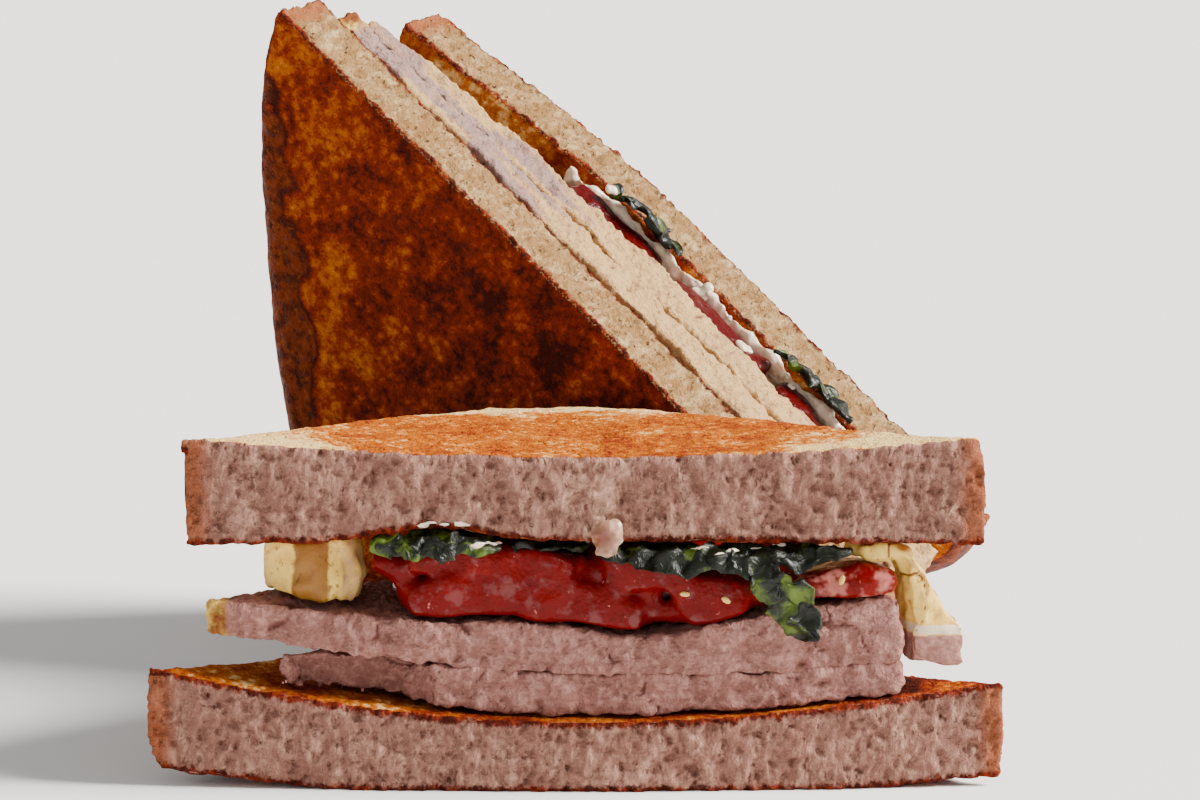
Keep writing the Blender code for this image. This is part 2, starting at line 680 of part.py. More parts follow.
def main():
    clear_scene()
    looks = {
        "bread": material("toasted_bread", (0.72, 0.50, 0.30), 0.85),
        "turkey": material("turkey", (0.62, 0.42, 0.38), 0.55),
        "roast": material("roasted_edge", (0.75, 0.50, 0.22), 0.5),
        "tomato": material("tomato", (0.45, 0.03, 0.02), 0.25),
        "leaf": material("leaf", (0.06, 0.16, 0.03), 0.45),
        "sauce": material("mayonnaise", (0.86, 0.82, 0.70), 0.3),
    }
    build_front_bread(looks)
    build_front_turkey(looks)
    build_front_tomatoes(looks)
    build_front_greens(looks)
    build_front_sauce(looks)
    stand_up(build_rear_bread(looks) + build_rear_turkey(looks) + build_rear_filling(looks))
    centre_on_ground()


main()
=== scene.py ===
"""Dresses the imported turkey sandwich: toast, meat, tomato, greens and mayonnaise, on a pale studio floor."""

import itertools
import math
import random

import bmesh
import bpy
import numpy as np
from bpy.props import FloatProperty, FloatVectorProperty, PointerProperty
from mathutils import Matrix, Vector
from mathutils.bvhtree import BVHTree
from mathutils.kdtree import KDTree


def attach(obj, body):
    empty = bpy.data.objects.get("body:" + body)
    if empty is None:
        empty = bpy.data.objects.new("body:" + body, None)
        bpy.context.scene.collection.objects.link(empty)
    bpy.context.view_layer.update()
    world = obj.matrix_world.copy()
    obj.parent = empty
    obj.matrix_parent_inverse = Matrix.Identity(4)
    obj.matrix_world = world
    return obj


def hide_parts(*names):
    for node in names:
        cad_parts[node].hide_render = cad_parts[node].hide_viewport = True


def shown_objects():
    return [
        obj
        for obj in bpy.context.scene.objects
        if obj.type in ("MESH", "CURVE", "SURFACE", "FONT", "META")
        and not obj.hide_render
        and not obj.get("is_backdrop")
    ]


bl_info = {
    "name": "Turkey sandwich dresser",
    "version": (1, 0, 0),
    "blender": (4, 5, 0),
    "location": "3D View > Sidebar > Sandwich",
    "description": "Gives the plain layers of a toasted turkey sandwich their crumb, grain, gloss and colour",
    "category": "Object",
}

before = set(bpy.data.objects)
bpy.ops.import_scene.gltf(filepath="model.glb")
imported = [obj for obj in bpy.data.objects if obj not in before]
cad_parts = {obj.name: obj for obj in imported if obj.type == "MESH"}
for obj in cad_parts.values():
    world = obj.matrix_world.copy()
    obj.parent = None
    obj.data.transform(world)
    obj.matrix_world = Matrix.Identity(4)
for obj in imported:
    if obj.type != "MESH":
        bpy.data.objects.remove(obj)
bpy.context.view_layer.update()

MM = 0.001

# Where each half's cut lies: along its own X, with the food behind it along its own Y
FRONT_PLACE = Matrix.Translation((0.71 * MM, -77.61 * MM, 0))
REAR_PLACE = Matrix(
    (
        (0.68925, -0.56465, 0.45399, -1.61 * MM),
        (-0.35119, 0.28770, 0.89101, -3.26 * MM),
        (-0.63372, -0.77356, 0.0, 85.50 * MM),
        (0, 0, 0, 1),
    )
)

# Each half's triangle: the ends of its cut and its right-angled corner
FRONT_ENDS = (-88 * MM, 88 * MM, (-7.4 * MM, 86 * MM))
REAR_ENDS = (-112.9 * MM, 105.9 * MM, (8.6 * MM, 105.6 * MM))

# The height from which the camera's distance is measured, on the lying half's cut
FRONT_MIDDLE = 45 * MM

# The photograph's frame
PHOTO_WIDTH, PHOTO_HEIGHT = 1200, 800
SENSOR_WIDTH = 36.0


def linear(red, green, blue):
    """A colour picked from a picture, from 0 to 255, as the linear values that a shader takes."""
    return tuple(
        value / 12.92 if value <= 0.04045 else ((value + 0.055) / 1.055) ** 2.4
        for value in (red / 255, green / 255, blue / 255)
    )


def colour_property(name, description, default):
    return FloatVectorProperty(
        name=name, description=description, default=linear(*default), subtype="COLOR", min=0, max=1
    )


def number_property(name, description, default):
    return FloatProperty(name=name, description=description, default=default, min=0)


def length_property(name, description, default):
    return FloatProperty(
        name=name, description=description, default=default, unit="LENGTH", min=0, precision=5
    )


class ToastSettings(bpy.types.PropertyGroup):
    """Sizes and colours of the toasted bread."""

    face_size: length_property("Face size", "Spacing of the mesh on the slices", 0.62 * MM)
    pore_size: length_property("Pore size", "Spacing of the crumb's larger pores", 2.5 * MM)
    pore_depth: length_property("Pore depth", "Depth of the crumb's larger pores", 0.95 * MM)
    # Lit and shaded copies of one crumb: the lying half's pinker colours paint the shade on its cut, and the
    # standing half's creamier tan and cream paint the light on its cut.
    crumb: colour_property("Crumb", "Colour of the cut crumb", (142, 98, 85))
    crumb_light: colour_property("Crumb light", "Colour of the crumb's pale strands", (214, 164, 142))
    crumb_tan: colour_property("Crumb tan", "Colour of the standing half's crumb", (146, 108, 66))
    crumb_cream: colour_property("Crumb cream", "Colour of that crumb's pale strands", (204, 176, 128))
    # This colour is partly the crumb's darker tone between its strands and partly the painted shade in its
    # pores.
    crumb_dark_and_pore_shade: colour_property("Crumb deep", "Colour at the bottom of the pores", (84, 42, 32))
    crumb_edge: colour_property("Crumb edge", "Colour of the crumb beside the crust", (150, 78, 42))
    pale: colour_property("Pale toast", "Colour where the bread is hardly toasted", (255, 212, 140))
    golden: colour_property("Golden toast", "Colour of lightly browned toast", (204, 110, 0))
    brown: colour_property("Brown toast", "Colour of well browned toast", (140, 42, 4))
    dark: colour_property("Dark toast", "Colour of the darkest toast", (62, 12, 2))
    crust: colour_property("Crust", "Colour of the loaf's crust", (122, 46, 4))
    crust_dark: colour_property("Crust dark", "Colour of the crust's darker patches", (60, 16, 1))


class FillingSettings(bpy.types.PropertyGroup):
    """Sizes and colours of what lies between the slices."""

    face_size: length_property("Face size", "Spacing of the mesh on the filling", 0.6 * MM)
    grain_depth: length_property("Grain depth", "Depth of the meat's grain", 0.34 * MM)
    turkey: colour_property("Turkey", "Colour of the sliced meat", (146, 97, 87))
    turkey_pale: colour_property("Turkey pale", "Colour of the meat's pale fibres", (184, 133, 122))
    # This colour is the painted shade in the meat's cracks, holes and folds, and its small dark specks, which
    # are partly painted shade between the grains.
    turkey_specks_and_crack_shade: colour_property("Turkey deep", "Colour in the meat's cracks", (88, 38, 32))
    turkey_grey: colour_property("Turkey grey", "Colour of the meat's lavender-grey parts", (152, 123, 113))
    turkey_cream: colour_property("Turkey cream", "Colour of the meat's creamy parts", (196, 156, 104))
    roast: colour_property("Roasted edge", "Colour of the roasted outside of the meat", (254, 212, 104))
    roast_gold: colour_property("Roasted gold", "Colour of its golden parts", (124, 60, 3))
    # This colour is the browned freckles' colour and also the painted shade in the roasted edges' creases.
    roast_brown_and_crease_shade: colour_property("Roasted patch", "Colour of its browned spots", (110, 40, 2))
    tomato: colour_property("Tomato", "Colour of the tomato's flesh", (104, 1, 0))
    tomato_pale: colour_property("Tomato pale", "Colour of the tomato's paler walls", (146, 24, 18))
    # The skin colour also paints the standing half's tomato dark all over, as painted shade.
    tomato_skin_and_shade: colour_property("Tomato skin", "Colour of the tomato's skin", (70, 0, 0))
    # The glint colour is a painted highlight: small glints and a pale highlight on the wet flesh.
    tomato_glint: colour_property("Tomato glint", "Colour of the flesh's small bright spots", (226, 140, 126))
    seed: colour_property("Seed", "Colour of the tomato's seeds", (226, 184, 98))
    # The leaf and leaf dark colours are painted light and painted shade: lit green patches over a shaded dark
    # green.
    leaf: colour_property("Leaf", "Colour of the leaves' lit parts", (84, 104, 26))
    leaf_dark: colour_property("Leaf dark", "Colour of the leaves' darker parts", (12, 17, 5))
    stem: colour_property("Leaf veins", "Colour of the leaves' paler veins", (176, 190, 116))
    mayonnaise: colour_property("Mayonnaise", "Colour of the mayonnaise", (232, 214, 190))
    mayonnaise_warm: colour_property("Mayonnaise warm", "Colour where it has melted in", (172, 112, 76))


class StageSettings(bpy.types.PropertyGroup):
    """The floor, the camera and the lights."""

    floor: colour_property("Floor", "Colour of the studio floor", (250, 249, 247))
    distance: length_property("Camera distance", "From the camera to the lying half's cut face", 1600 * MM)
    lens: FloatProperty(
        name="Lens",
        description="Focal length of the camera in millimetres",
        default=235.2,
        min=1,
    )
    elevation: FloatProperty(
        name="Elevation",
        description="How far above the horizon the camera stands",
        default=math.radians(12.9),
        subtype="ANGLE",
        unit="ROTATION",
    )
    aim: FloatVectorProperty(
        name="Aim",
        description="The point at the middle of the picture",
        default=(3.74 * MM, -77.61 * MM, 80.8 * MM),
        subtype="TRANSLATION",
        unit="LENGTH",
    )
    key_power: number_property("Key light", "Strength of the broad sun at the right", 12.8)
    fill_power: number_property("Fill light", "Power of the soft light in front", 1.0)
    sky: number_property("Sky", "Strength of the even light from all round", 0.46)


# Numbers for each point of a mesh


def scattered(cells, seed):
    """A number from 0 to 1 for each whole-number cell, the same in every run."""
    mixed = cells[:, 0] * 73856093 ^ cells[:, 1] * 19349663 ^ cells[:, 2] * 83492791 ^ (seed * 2654435761)
    mixed = (mixed ^ (mixed >> 13)) * 1274126177
    return ((mixed ^ (mixed >> 16)) & 0xFFFFF) / 0xFFFFF


def cloud(points, size, seed):
    """Smooth noise from -1 to 1, with features of this size in metres, or of one size along each axis."""
    spots = points / np.asarray(size) + seed * 3.7
    corner = np.floor(spots).astype(np.int64)
    part = spots - corner
    part = part**3 * (part * (part * 6 - 15) + 10)
    total = np.zeros(len(points))
    for offset in itertools.product((0, 1), repeat=3):
        share = np.prod(np.where(offset, part, 1 - part), axis=1)
        total += share * scattered(corner + np.array(offset), seed)
    return (2 * total - 1) * 1.3


def hollows(points, size, share, seed):
    """From 0 to 1, how deep each point lies in scattered round hollows, of which this share is open."""
    warp = np.stack([cloud(points, 0.7 * np.asarray(size), seed + 11 + axis) for axis in range(3)], axis=1)
    spots = points / np.asarray(size) + 0.28 * warp
    corner = np.floor(spots).astype(np.int64)
    nearest = np.full(len(points), 9.0)
    mark = np.zeros(len(points))
    for offset in itertools.product((-1, 0, 1), repeat=3):
        cell = corner + np.array(offset)
        centre = cell + np.stack([scattered(cell, seed + axis) for axis in range(3)], axis=1)
        far = np.linalg.norm(spots - centre, axis=1)
        closer = far < nearest
        nearest = np.where(closer, far, nearest)
        mark = np.where(closer, scattered(cell, seed + 7), mark)
    reach = 0.3 + 0.35 * mark / share
    return np.where(mark < share, np.sqrt(np.clip(1 - (nearest / reach) ** 2, 0, 1)), 0.0)


def climb(values, start, stop):
    """0 up to start, 1 from stop on, and an even curve between."""
    part = np.clip((values - start) / (stop - start), 0, 1)
    return part * part * (3 - 2 * part)


def mound(place, centre, spread):
    """A soft round rise of height 1 about a place in a half's own X and Y."""
    across, along = ((place[:, axis] - centre[axis]) / spread[axis] for axis in (0, 1))
    return np.exp(-(across**2) - along**2)


def from_crust(place, ends):
    """How far inside the two crust sides of its half each point lies, the left side first."""
    left, right, corner = ends
    far = []
    for start, stop in (((left, 0), corner), (corner, (right, 0))):
        way = Vector(stop) - Vector(start)
        way.normalize()
        far.append((place[:, 0] - start[0]) * way.y - (place[:, 1] - start[1]) * way.x)
    return far


# Meshes


def points_of(mesh, what="co"):
    values = np.empty(len(mesh.vertices) * 3, np.float32)
    mesh.vertices.foreach_get(what, values)
    return values.reshape(-1, 3).astype(np.float64)


def set_points(mesh, points):
    mesh.vertices.foreach_set("co", points.astype(np.float32).ravel())
    mesh.update()


def edges_of(mesh):
    values = np.empty(len(mesh.edges) * 2, np.int32)
    mesh.edges.foreach_get("vertices", values)
    return values.reshape(-1, 2)


def eased(points, edges, weights, repeats):
    """The points, each drawn towards its neighbours' middle by its weight, this many times."""
    count = len(points)
    ends = np.concatenate([edges[:, 0], edges[:, 1]])
    others = np.concatenate([edges[:, 1], edges[:, 0]])
    degree = np.maximum(np.bincount(ends, minlength=count), 1)
    for _ in range(repeats):
        middle = [np.bincount(ends, points[others, axis], minlength=count) / degree for axis in range(3)]
        points = points + (np.stack(middle, axis=1) - points) * weights[:, None]
    return points


def store(mesh, **numbers):
    """Keeps numbers or vectors for each point, for the material to read."""
    for name, values in numbers.items():
        vector = values.ndim == 2
        kept = mesh.attributes.new(name, "FLOAT_VECTOR" if vector else "FLOAT", "POINT")
        kept.data.foreach_set("vector" if vector else "value", values.astype(np.float32).ravel())


def linked(name, mesh):
    obj = bpy.data.objects.new(name, mesh)
    bpy.context.collection.objects.link(obj)
    return obj


def apply_modifiers(obj):
    """Puts the mesh that the object's modifiers make in place of its own."""
    graph = bpy.context.evaluated_depsgraph_get()
    coarse = obj.data
    fine = bpy.data.meshes.new_from_object(obj.evaluated_get(graph))
    obj.modifiers.clear()
    obj.data = fine
    fine.name = obj.name
    bpy.data.meshes.remove(coarse)
    return fine


def even_piece(name, mesh, face_size, smoothing):
    """A piece of this shape, in one closed mesh with faces of this size, eased this many times."""
    obj = linked(name, mesh)
    remesh = obj.modifiers.new("even faces", "REMESH")
    remesh.mode = "VOXEL"
    remesh.voxel_size = face_size
    fine = apply_modifiers(obj)
    points = points_of(fine)
    set_points(fine, eased(points, edges_of(fine), np.full(len(points), 0.5), smoothing))
    return obj


def joined_mesh(name, nodes, grown=0.0, half=None, blobs=()):
    """The CAD nodes as one mesh, each grown by this much, with blobs at places in their half."""
    joined = bmesh.new()
    for node in nodes:
        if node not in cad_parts:
            raise RuntimeError(f"the frame has no node {node}")
        joined.from_mesh(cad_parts[node].data)
    bmesh.ops.remove_doubles(joined, verts=joined.verts[:], dist=0.01 * MM)
    joined.normal_update()
    for vertex in joined.verts:
        vertex.co += vertex.normal * grown
    for centre, radius in blobs:
        where = Matrix.Translation(half @ Vector(centre))
        bmesh.ops.create_icosphere(joined, subdivisions=3, radius=radius, matrix=where)
    mesh = bpy.data.meshes.new(name)
    joined.to_mesh(mesh)
    joined.free()
    return mesh


class Layer:
    """A finely meshed copy of CAD layers, with where each point lies in its half and which way it faces."""

    def __init__(self, name, nodes, face_size, smoothing=3, grown=0.0, blobs=()):
        self.nodes = nodes
        rear = nodes[0].startswith("rear")
        self.half = REAR_PLACE if rear else FRONT_PLACE
        self.ends = REAR_ENDS if rear else FRONT_ENDS
        joined = joined_mesh(name, nodes, grown, self.half, blobs)
        self.obj = even_piece(name, joined, face_size, smoothing)
        self.mesh = self.obj.data
        self.read()

    def read(self):
        """Reads the points again after a change."""
        turn = np.array(self.half.to_3x3())
        self.points = points_of(self.mesh)
        self.normals = points_of(self.mesh, "normal")
        self.place = (self.points - np.array(self.half.translation)) @ turn
        self.facing = self.normals @ turn

    def smooth(self, weights, repeats):
        set_points(self.mesh, eased(self.points, edges_of(self.mesh), weights, repeats))
        self.read()

    def raise_by(self, heights):
        """Moves each point out along its normal by its height."""
        set_points(self.mesh, self.points + self.normals * heights[:, None])

    def finish(self, material, slot, **numbers):
        """Stores what the material reads, and puts the piece in its node's place."""
        store(self.mesh, place=self.place, **numbers)
        dress(self.obj, material, slot, *self.nodes)


def dress(obj, material, slot, *nodes):
    """Gives the piece its material, smooth shading and its body, in place of these nodes."""
    obj.data.materials.clear()
    obj.data.materials.append(material)
    obj.data.shade_smooth()
    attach(obj, "root")
    if nodes:
        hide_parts(*nodes)


# Shader values and looks


class Wire:
    """A value in a material. Arithmetic on it adds Math nodes."""

    def __init__(self, look, socket):
        self.look = look
        self.socket = socket

    def math(self, operation, first, second):
        return self.look.add("ShaderNodeMath", {"operation": operation}, {0: first, 1: second})

    def __add__(self, other):
        return self.math("ADD", self, other)

    def __radd__(self, other):
        return self.math("ADD", other, self)

    def __sub__(self, other):
        return self.math("SUBTRACT", self, other)

    def __rsub__(self, other):
        return self.math("SUBTRACT", other, self)

    def __mul__(self, other):
        return self.math("MULTIPLY", self, other)

    def __rmul__(self, other):
        return self.math("MULTIPLY", other, self)


class Look:
    """A material as it is made, with its nodes added by one method."""

    def __init__(self, name, roughness=0.5, **uniform):
        self.material = bpy.data.materials.new(name)
        self.material.use_nodes = True
        self.tree = self.material.node_tree
        self.shader = self.tree.nodes["Principled BSDF"]
        self.shader.inputs["Roughness"].default_value = roughness
        for socket, value in uniform.items():
            self.shader.inputs[socket.replace("_", " ")].default_value = value
        self.place = self.add("ShaderNodeAttribute", {"attribute_name": "place"}, output="Vector")

    def add(self, kind, settings=None, inputs=None, output=0):
        """A node of this kind with its settings made first, then its sockets' values or links."""
        node = self.tree.nodes.new(kind)
        for name, value in (settings or {}).items():
            if name == "stops":
                self.set_stops(node.color_ramp, value)
            else:
                setattr(node, name, value)
        for name, value in (inputs or {}).items():
            if isinstance(value, Wire):
                self.tree.links.new(value.socket, node.inputs[name])
            elif isinstance(node.inputs[name].default_value, (float, int)):
                node.inputs[name].default_value = value
            else:
                size = len(node.inputs[name].default_value)
                node.inputs[name].default_value = (*value, 1.0)[:size]
        return Wire(self, node.outputs[output])

    def set_stops(self, ramp, stops):
        while len(ramp.elements) < len(stops):
            ramp.elements.new(0.5)
        for element, (position, colour) in zip(ramp.elements, stops):
            element.position = position
            element.color = (*colour, 1.0)

    def number(self, name):
        """A number that the mesh keeps for each point."""
        return self.add("ShaderNodeAttribute", {"attribute_name": name}, output="Fac")

    def stretched(self, scale):
        return self.add("ShaderNodeVectorMath", {"operation": "MULTIPLY"}, {0: self.place, 1: scale})

    def noise(self, size, detail=3.0, roughness=0.55, distortion=0.0, stretch=None):
        """Noise from 0 to 1 with features of this size."""
        where = self.stretched(stretch) if stretch else self.place
        inputs = {
            "Vector": where,
            "Scale": 1 / size,
            "Detail": detail,
            "Roughness": roughness,
            "Distortion": distortion,
        }
        return self.add("ShaderNodeTexNoise", None, inputs)

    def cells(self, size, stretch=None):
        """How far each point is from scattered centres this far apart."""
        where = self.stretched(stretch) if stretch else self.place
        return self.add("ShaderNodeTexVoronoi", None, {"Vector": where, "Scale": 1 / size}, output="Distance")

    def between(self, value, start, stop):
        """0 up to start, 1 from stop on, and an even curve between."""
        return self.add(
            "ShaderNodeMapRange", {"interpolation_type": "SMOOTHSTEP"},
            {"Value": value, "From Min": start, "From Max": stop}, output="Result",
        )

    def ramp(self, value, stops):
        return self.add("ShaderNodeValToRGB", {"stops": stops}, {"Fac": value}, output="Color")

    def mix(self, first, second, share):
        """The first colour turned to the second by this share."""
        return self.add(
            "ShaderNodeMix", {"data_type": "RGBA", "clamp_factor": True},
            {0: share, 6: first, 7: second}, output=2,
        )

    def fade(self, first, second, value, start, stop, most=1.0):
        """The first colour turned to the second, up to this share, as the value climbs."""
        share = self.between(value, start, stop)
        return self.mix(first, second, share if most == 1.0 else share * most)

    def colour(self, wire):
        self.tree.links.new(wire.socket, self.shader.inputs["Base Color"])

    def roughness(self, wire):
        self.tree.links.new(wire.socket, self.shader.inputs["Roughness"])

    def coat(self, wire):
        self.tree.links.new(wire.socket, self.shader.inputs["Coat Weight"])

    def bump(self, height, depth):
        """Relief of this depth in metres, too fine for the mesh."""
        inputs = {"Height": height, "Distance": depth, "Strength": 1.0}
        normal = self.add("ShaderNodeBump", None, inputs, "Normal")
        self.tree.links.new(normal.socket, self.shader.inputs["Normal"])


def toast_look(colours):
    """Porous crumb on the cut, browned faces and a darker crust, by what each slice stores of them."""
    look = Look("toasted_bread_look", Specular_IOR_Level=0.12)
    fine = look.noise(0.6 * MM, detail=4)
    speck = look.noise(1.7 * MM, detail=5, roughness=0.7)
    broad = look.noise(8 * MM, detail=3)
    pit, cut, crust, rear = (look.number(name) for name in ("pit", "cut", "crust", "rear"))
    granules = look.between(look.cells(2.4 * MM), 0.1, 0.7)
    pores = 1 - look.between(look.cells(1.3 * MM, stretch=(1, 1, 0.6)), 0.12, 0.4)
    pores = pores * look.between(look.noise(3.2 * MM, detail=4), 0.48, 0.6)
    browning = look.number("brown") + 0.8 * (speck - 0.5) + 0.3 * (fine - 0.5) + 0.3 * (broad - 0.5)
    toast = look.ramp(
        browning + 0.16 * (granules - 0.2),
        (
            (0.0, colours.pale),
            (0.14, colours.pale),
            (0.36, colours.golden),
            (0.66, colours.brown),
            (0.95, colours.dark),
        ),
    )
    strand = look.noise(1.9 * MM, detail=6, roughness=0.72, distortion=0.9, stretch=(1, 1, 0.45))
    streak = look.noise(3.6 * MM, detail=4, roughness=0.6, distortion=0.5, stretch=(1, 1, 0.35))
    pale = look.between(strand + 0.6 * (streak - 0.5) + 0.3 * (broad - 0.5), 0.4, 0.86)
    crumb = look.mix(colours.crumb, colours.crumb_light, pale)
    # The standing half takes the lit copy of the crumb, creamier, in place of the lying half's shaded copy,
    # pinker: painted light and shade.
    crumb = look.mix(crumb, look.mix(colours.crumb_tan, colours.crumb_cream, pale), rear)
    # Painted shade in the pores, both the mesh's and the shader's finer ones, with darker crumb between the
    # pale strands.
    deep = 0.35 * pit + 0.4 * pores + 1.6 * (0.5 - strand) + 0.8 * (fine - 0.5)
    crumb = look.fade(crumb, colours.crumb_dark_and_pore_shade, deep, 0.15, 0.9, 0.8)
    crumb = look.fade(crumb, colours.crumb_edge, look.number("side") + 0.5 * (speck - 0.5), 0.1, 0.9, 0.8)
    crumb = look.fade(crumb, colours.crumb_light, look.number("smear") + 0.9 * (strand - 0.5), 0.3, 0.7)
    crumb = look.fade(crumb, toast, look.number("rim") + 1.3 * (speck - 0.5), 0.36, 0.74)
    streaks = look.noise(3.0 * MM, detail=5, roughness=0.65)
    rind = look.fade(colours.crust, colours.crust_dark, streaks, 0.42, 0.62, 0.85)
    rind = look.fade(rind, colours.golden, look.noise(2.2 * MM, detail=4), 0.55, 0.72, 0.25)
    whole = look.fade(toast, rind, crust + 0.5 * (speck - 0.5), 0.35, 0.7)
    look.colour(look.fade(whole, crumb, cut, 0.35, 0.65))
    look.roughness(0.86 - 0.28 * crust - 0.12 * look.between(browning, 0.5, 1.0))
    look.bump(fine * 0.8 + speck * 0.9 + 0.5 * strand + 0.7 * (1 - pores), 1.1 * MM)
    return look.material


def turkey_look(colours):
    """Moist sliced meat: pale fibres, painted shade in its cracks, and parts that are creamy or lavender-grey.
    """
    look = Look(
        "turkey_look", Subsurface_Weight=0.05, Subsurface_Scale=0.002, Subsurface_Radius=(1.0, 0.45, 0.35),
        Specular_IOR_Level=0.25,
    )
    fibre = look.noise(1.8 * MM, detail=6, roughness=0.7, distortion=0.4)
    patch = look.noise(7 * MM, detail=4, roughness=0.6)
    fleck = look.noise(0.8 * MM, detail=3)
    meat = look.fade(colours.turkey, colours.turkey_pale, fibre + 0.3 * (patch - 0.5), 0.42, 0.7)
    meat = look.mix(meat, colours.turkey_grey, look.number("grey") * look.between(patch, 0.2, 0.5))
    creamy = look.number("cream") * look.between(fibre + patch - 0.5, 0.0, 0.5)
    meat = look.mix(meat, colours.turkey_cream, creamy)
    # Painted shade in the meat's cracks, holes and folds.
    meat = look.fade(meat, colours.turkey_specks_and_crack_shade, look.number("pit") + 0.5 * (fleck - 0.5), 0.3, 1.0, 0.8)
    # Small dark specks, partly painted shade between the grains.
    meat = look.fade(meat, colours.turkey_specks_and_crack_shade, fleck - 0.4 * (fibre - 0.5), 0.56, 0.76, 0.5)
    browned = look.between(look.number("roast") + 0.5 * (fibre - 0.5), 0.3, 0.8)
    tip = look.fade(colours.roast, colours.roast_gold, patch, 0.3, 0.6)
    look.colour(look.mix(meat, tip, browned))
    look.roughness(0.42 + 0.34 * fibre)
    look.bump(fibre + 0.9 * fleck, 1.0 * MM)
    return look.material


def roast_look(colours):
    """The turkey's roasted outside: cream and gold with brown freckles, and pink meat under a white band."""
    look = Look("roasted_edge_look", Subsurface_Weight=0.06, Subsurface_Scale=0.002, Specular_IOR_Level=0.3)
    patch = look.noise(5 * MM, detail=4, roughness=0.6)
    fleck = look.noise(1.4 * MM, detail=4, roughness=0.7)
    skin = look.fade(colours.roast, colours.turkey_cream, look.noise(3 * MM), 0.5, 0.7, 0.5)
    skin = look.fade(skin, colours.roast_gold, look.number("gold") + 0.9 * (patch - 0.5), 0.35, 0.7, 0.85)
    skin = look.fade(skin, colours.roast_brown_and_crease_shade, fleck + 0.3 * (patch - 0.5), 0.58, 0.72, 0.75)
    meat = look.fade(colours.turkey, colours.turkey_pale, fleck, 0.4, 0.65)
    whole = look.fade(skin, meat, look.number("meat") + 0.3 * (fleck - 0.5), 0.35, 0.65)
    whole = look.fade(whole, colours.mayonnaise, look.number("band") + 0.3 * (fleck - 0.5), 0.4, 0.7, 0.8)
    # Painted shade in the creases.
    look.colour(look.fade(whole, colours.roast_brown_and_crease_shade, look.number("pit"), 0.4, 0.9, 0.9))
    look.roughness(0.34 + 0.3 * patch)
    look.bump(patch * 0.6 + fleck * 0.5, 0.4 * MM)
    return look.material


def tomato_look(colours):
    """Wet red flesh with paler walls, painted glints and highlights, and a dark skin round the outside that
    also paints shade.
    """
    look = Look(
        "tomato_look", Subsurface_Weight=0.05, Subsurface_Scale=0.002, Subsurface_Radius=(1.0, 0.1, 0.05),
        Specular_IOR_Level=0.12, Coat_Roughness=0.12,
    )
    wall = look.between(look.noise(5.5 * MM, detail=3, roughness=0.5, distortion=0.6), 0.52, 0.68)
    fleck = look.noise(1.2 * MM, detail=3)
    flesh = look.mix(colours.tomato, colours.tomato_pale, wall * (0.08 + 0.6 * look.number("pale")))
    # Painted glints: small highlights on the wet flesh.
    flesh = look.fade(flesh, colours.tomato_glint, fleck, 0.69, 0.74, 0.5)
    flesh = look.fade(flesh, colours.tomato_skin_and_shade, look.noise(3.5 * MM), 0.5, 0.75, 0.5)
    # A painted highlight towards the lying half's right end, where pale is highest.
    painted_highlight = look.between(look.number("pale"), 0.75, 0.95)
    painted_highlight = painted_highlight * look.between(look.noise(3.5 * MM, detail=2), 0.45, 0.65)
    flesh = look.mix(flesh, colours.tomato_glint, painted_highlight * 0.7)
    # The skin number is the real skin on the lying half's slices, and painted shade all over the standing
    # half's.
    look.colour(look.fade(flesh, colours.tomato_skin_and_shade, look.number("skin"), 0.3, 0.8))
    look.roughness(0.16 + 0.3 * look.noise(2.5 * MM))
    look.coat(look.between(look.noise(4 * MM, detail=3), 0.52, 0.66) * 0.55)
    look.bump(look.noise(1.8 * MM, detail=3), 0.45 * MM)
    return look.material


def leaf_look(colours):
    """A dark waxy leaf with patches of painted light in brighter green, and paler veins."""
    look = Look("leaf_look", Specular_IOR_Level=0.3)
    blotch = look.noise(3.2 * MM, detail=3, roughness=0.55)
    veins = look.noise(1.8 * MM, detail=3, distortion=1.2)
    # Painted light: lit green patches, set by noise and by each leaf's painted light, with veins showing only
    # where lit.
    lit = look.between(blotch + 0.45 * look.number("light") - 0.6 * (veins - 0.5), 0.52, 0.86)
    green = look.mix(colours.leaf_dark, colours.leaf, lit)
    green = look.mix(green, colours.stem, look.between(veins, 0.62, 0.74) * 0.25 * lit)
    look.colour(green)
    look.roughness(0.26 + 0.3 * blotch)
    look.bump(veins, 0.5 * MM)
    return look.material


def mayonnaise_look(colours):
    """Smooth, glossy and slightly lumpy, warmer and browner where it has melted into the toast."""
    look = Look("mayonnaise_look", Subsurface_Weight=0.15, Subsurface_Scale=0.002, Coat_Weight=0.25)
    patches = look.noise(2.6 * MM, detail=4, roughness=0.6)
    warm = look.between(patches + 0.5 * look.number("melted"), 0.52, 0.74)
    share = warm * (0.5 + 0.35 * look.number("melted"))
    creamy = look.mix(colours.mayonnaise, colours.mayonnaise_warm, share)
    look.colour(look.mix(creamy, colours.roast_brown_and_crease_shade, look.number("melted") * warm * 0.7))
    look.roughness(0.22 + 0.25 * warm)
    look.bump(look.noise(1.2 * MM, detail=3), 0.3 * MM)
    return look.material


def seed_look(colours):
    look = Look("seed_look", roughness=0.25, Subsurface_Weight=0.15, Subsurface_Scale=0.001, Coat_Weight=0.6)
    look.colour(look.fade(colours.seed, colours.tomato_pale, look.noise(0.9 * MM), 0.5, 0.8, 0.5))
    look.bump(look.noise(0.5 * MM), 0.1 * MM)
    return look.material


# The slices of toast: for each, how its lower and upper faces are browned, by place in its half


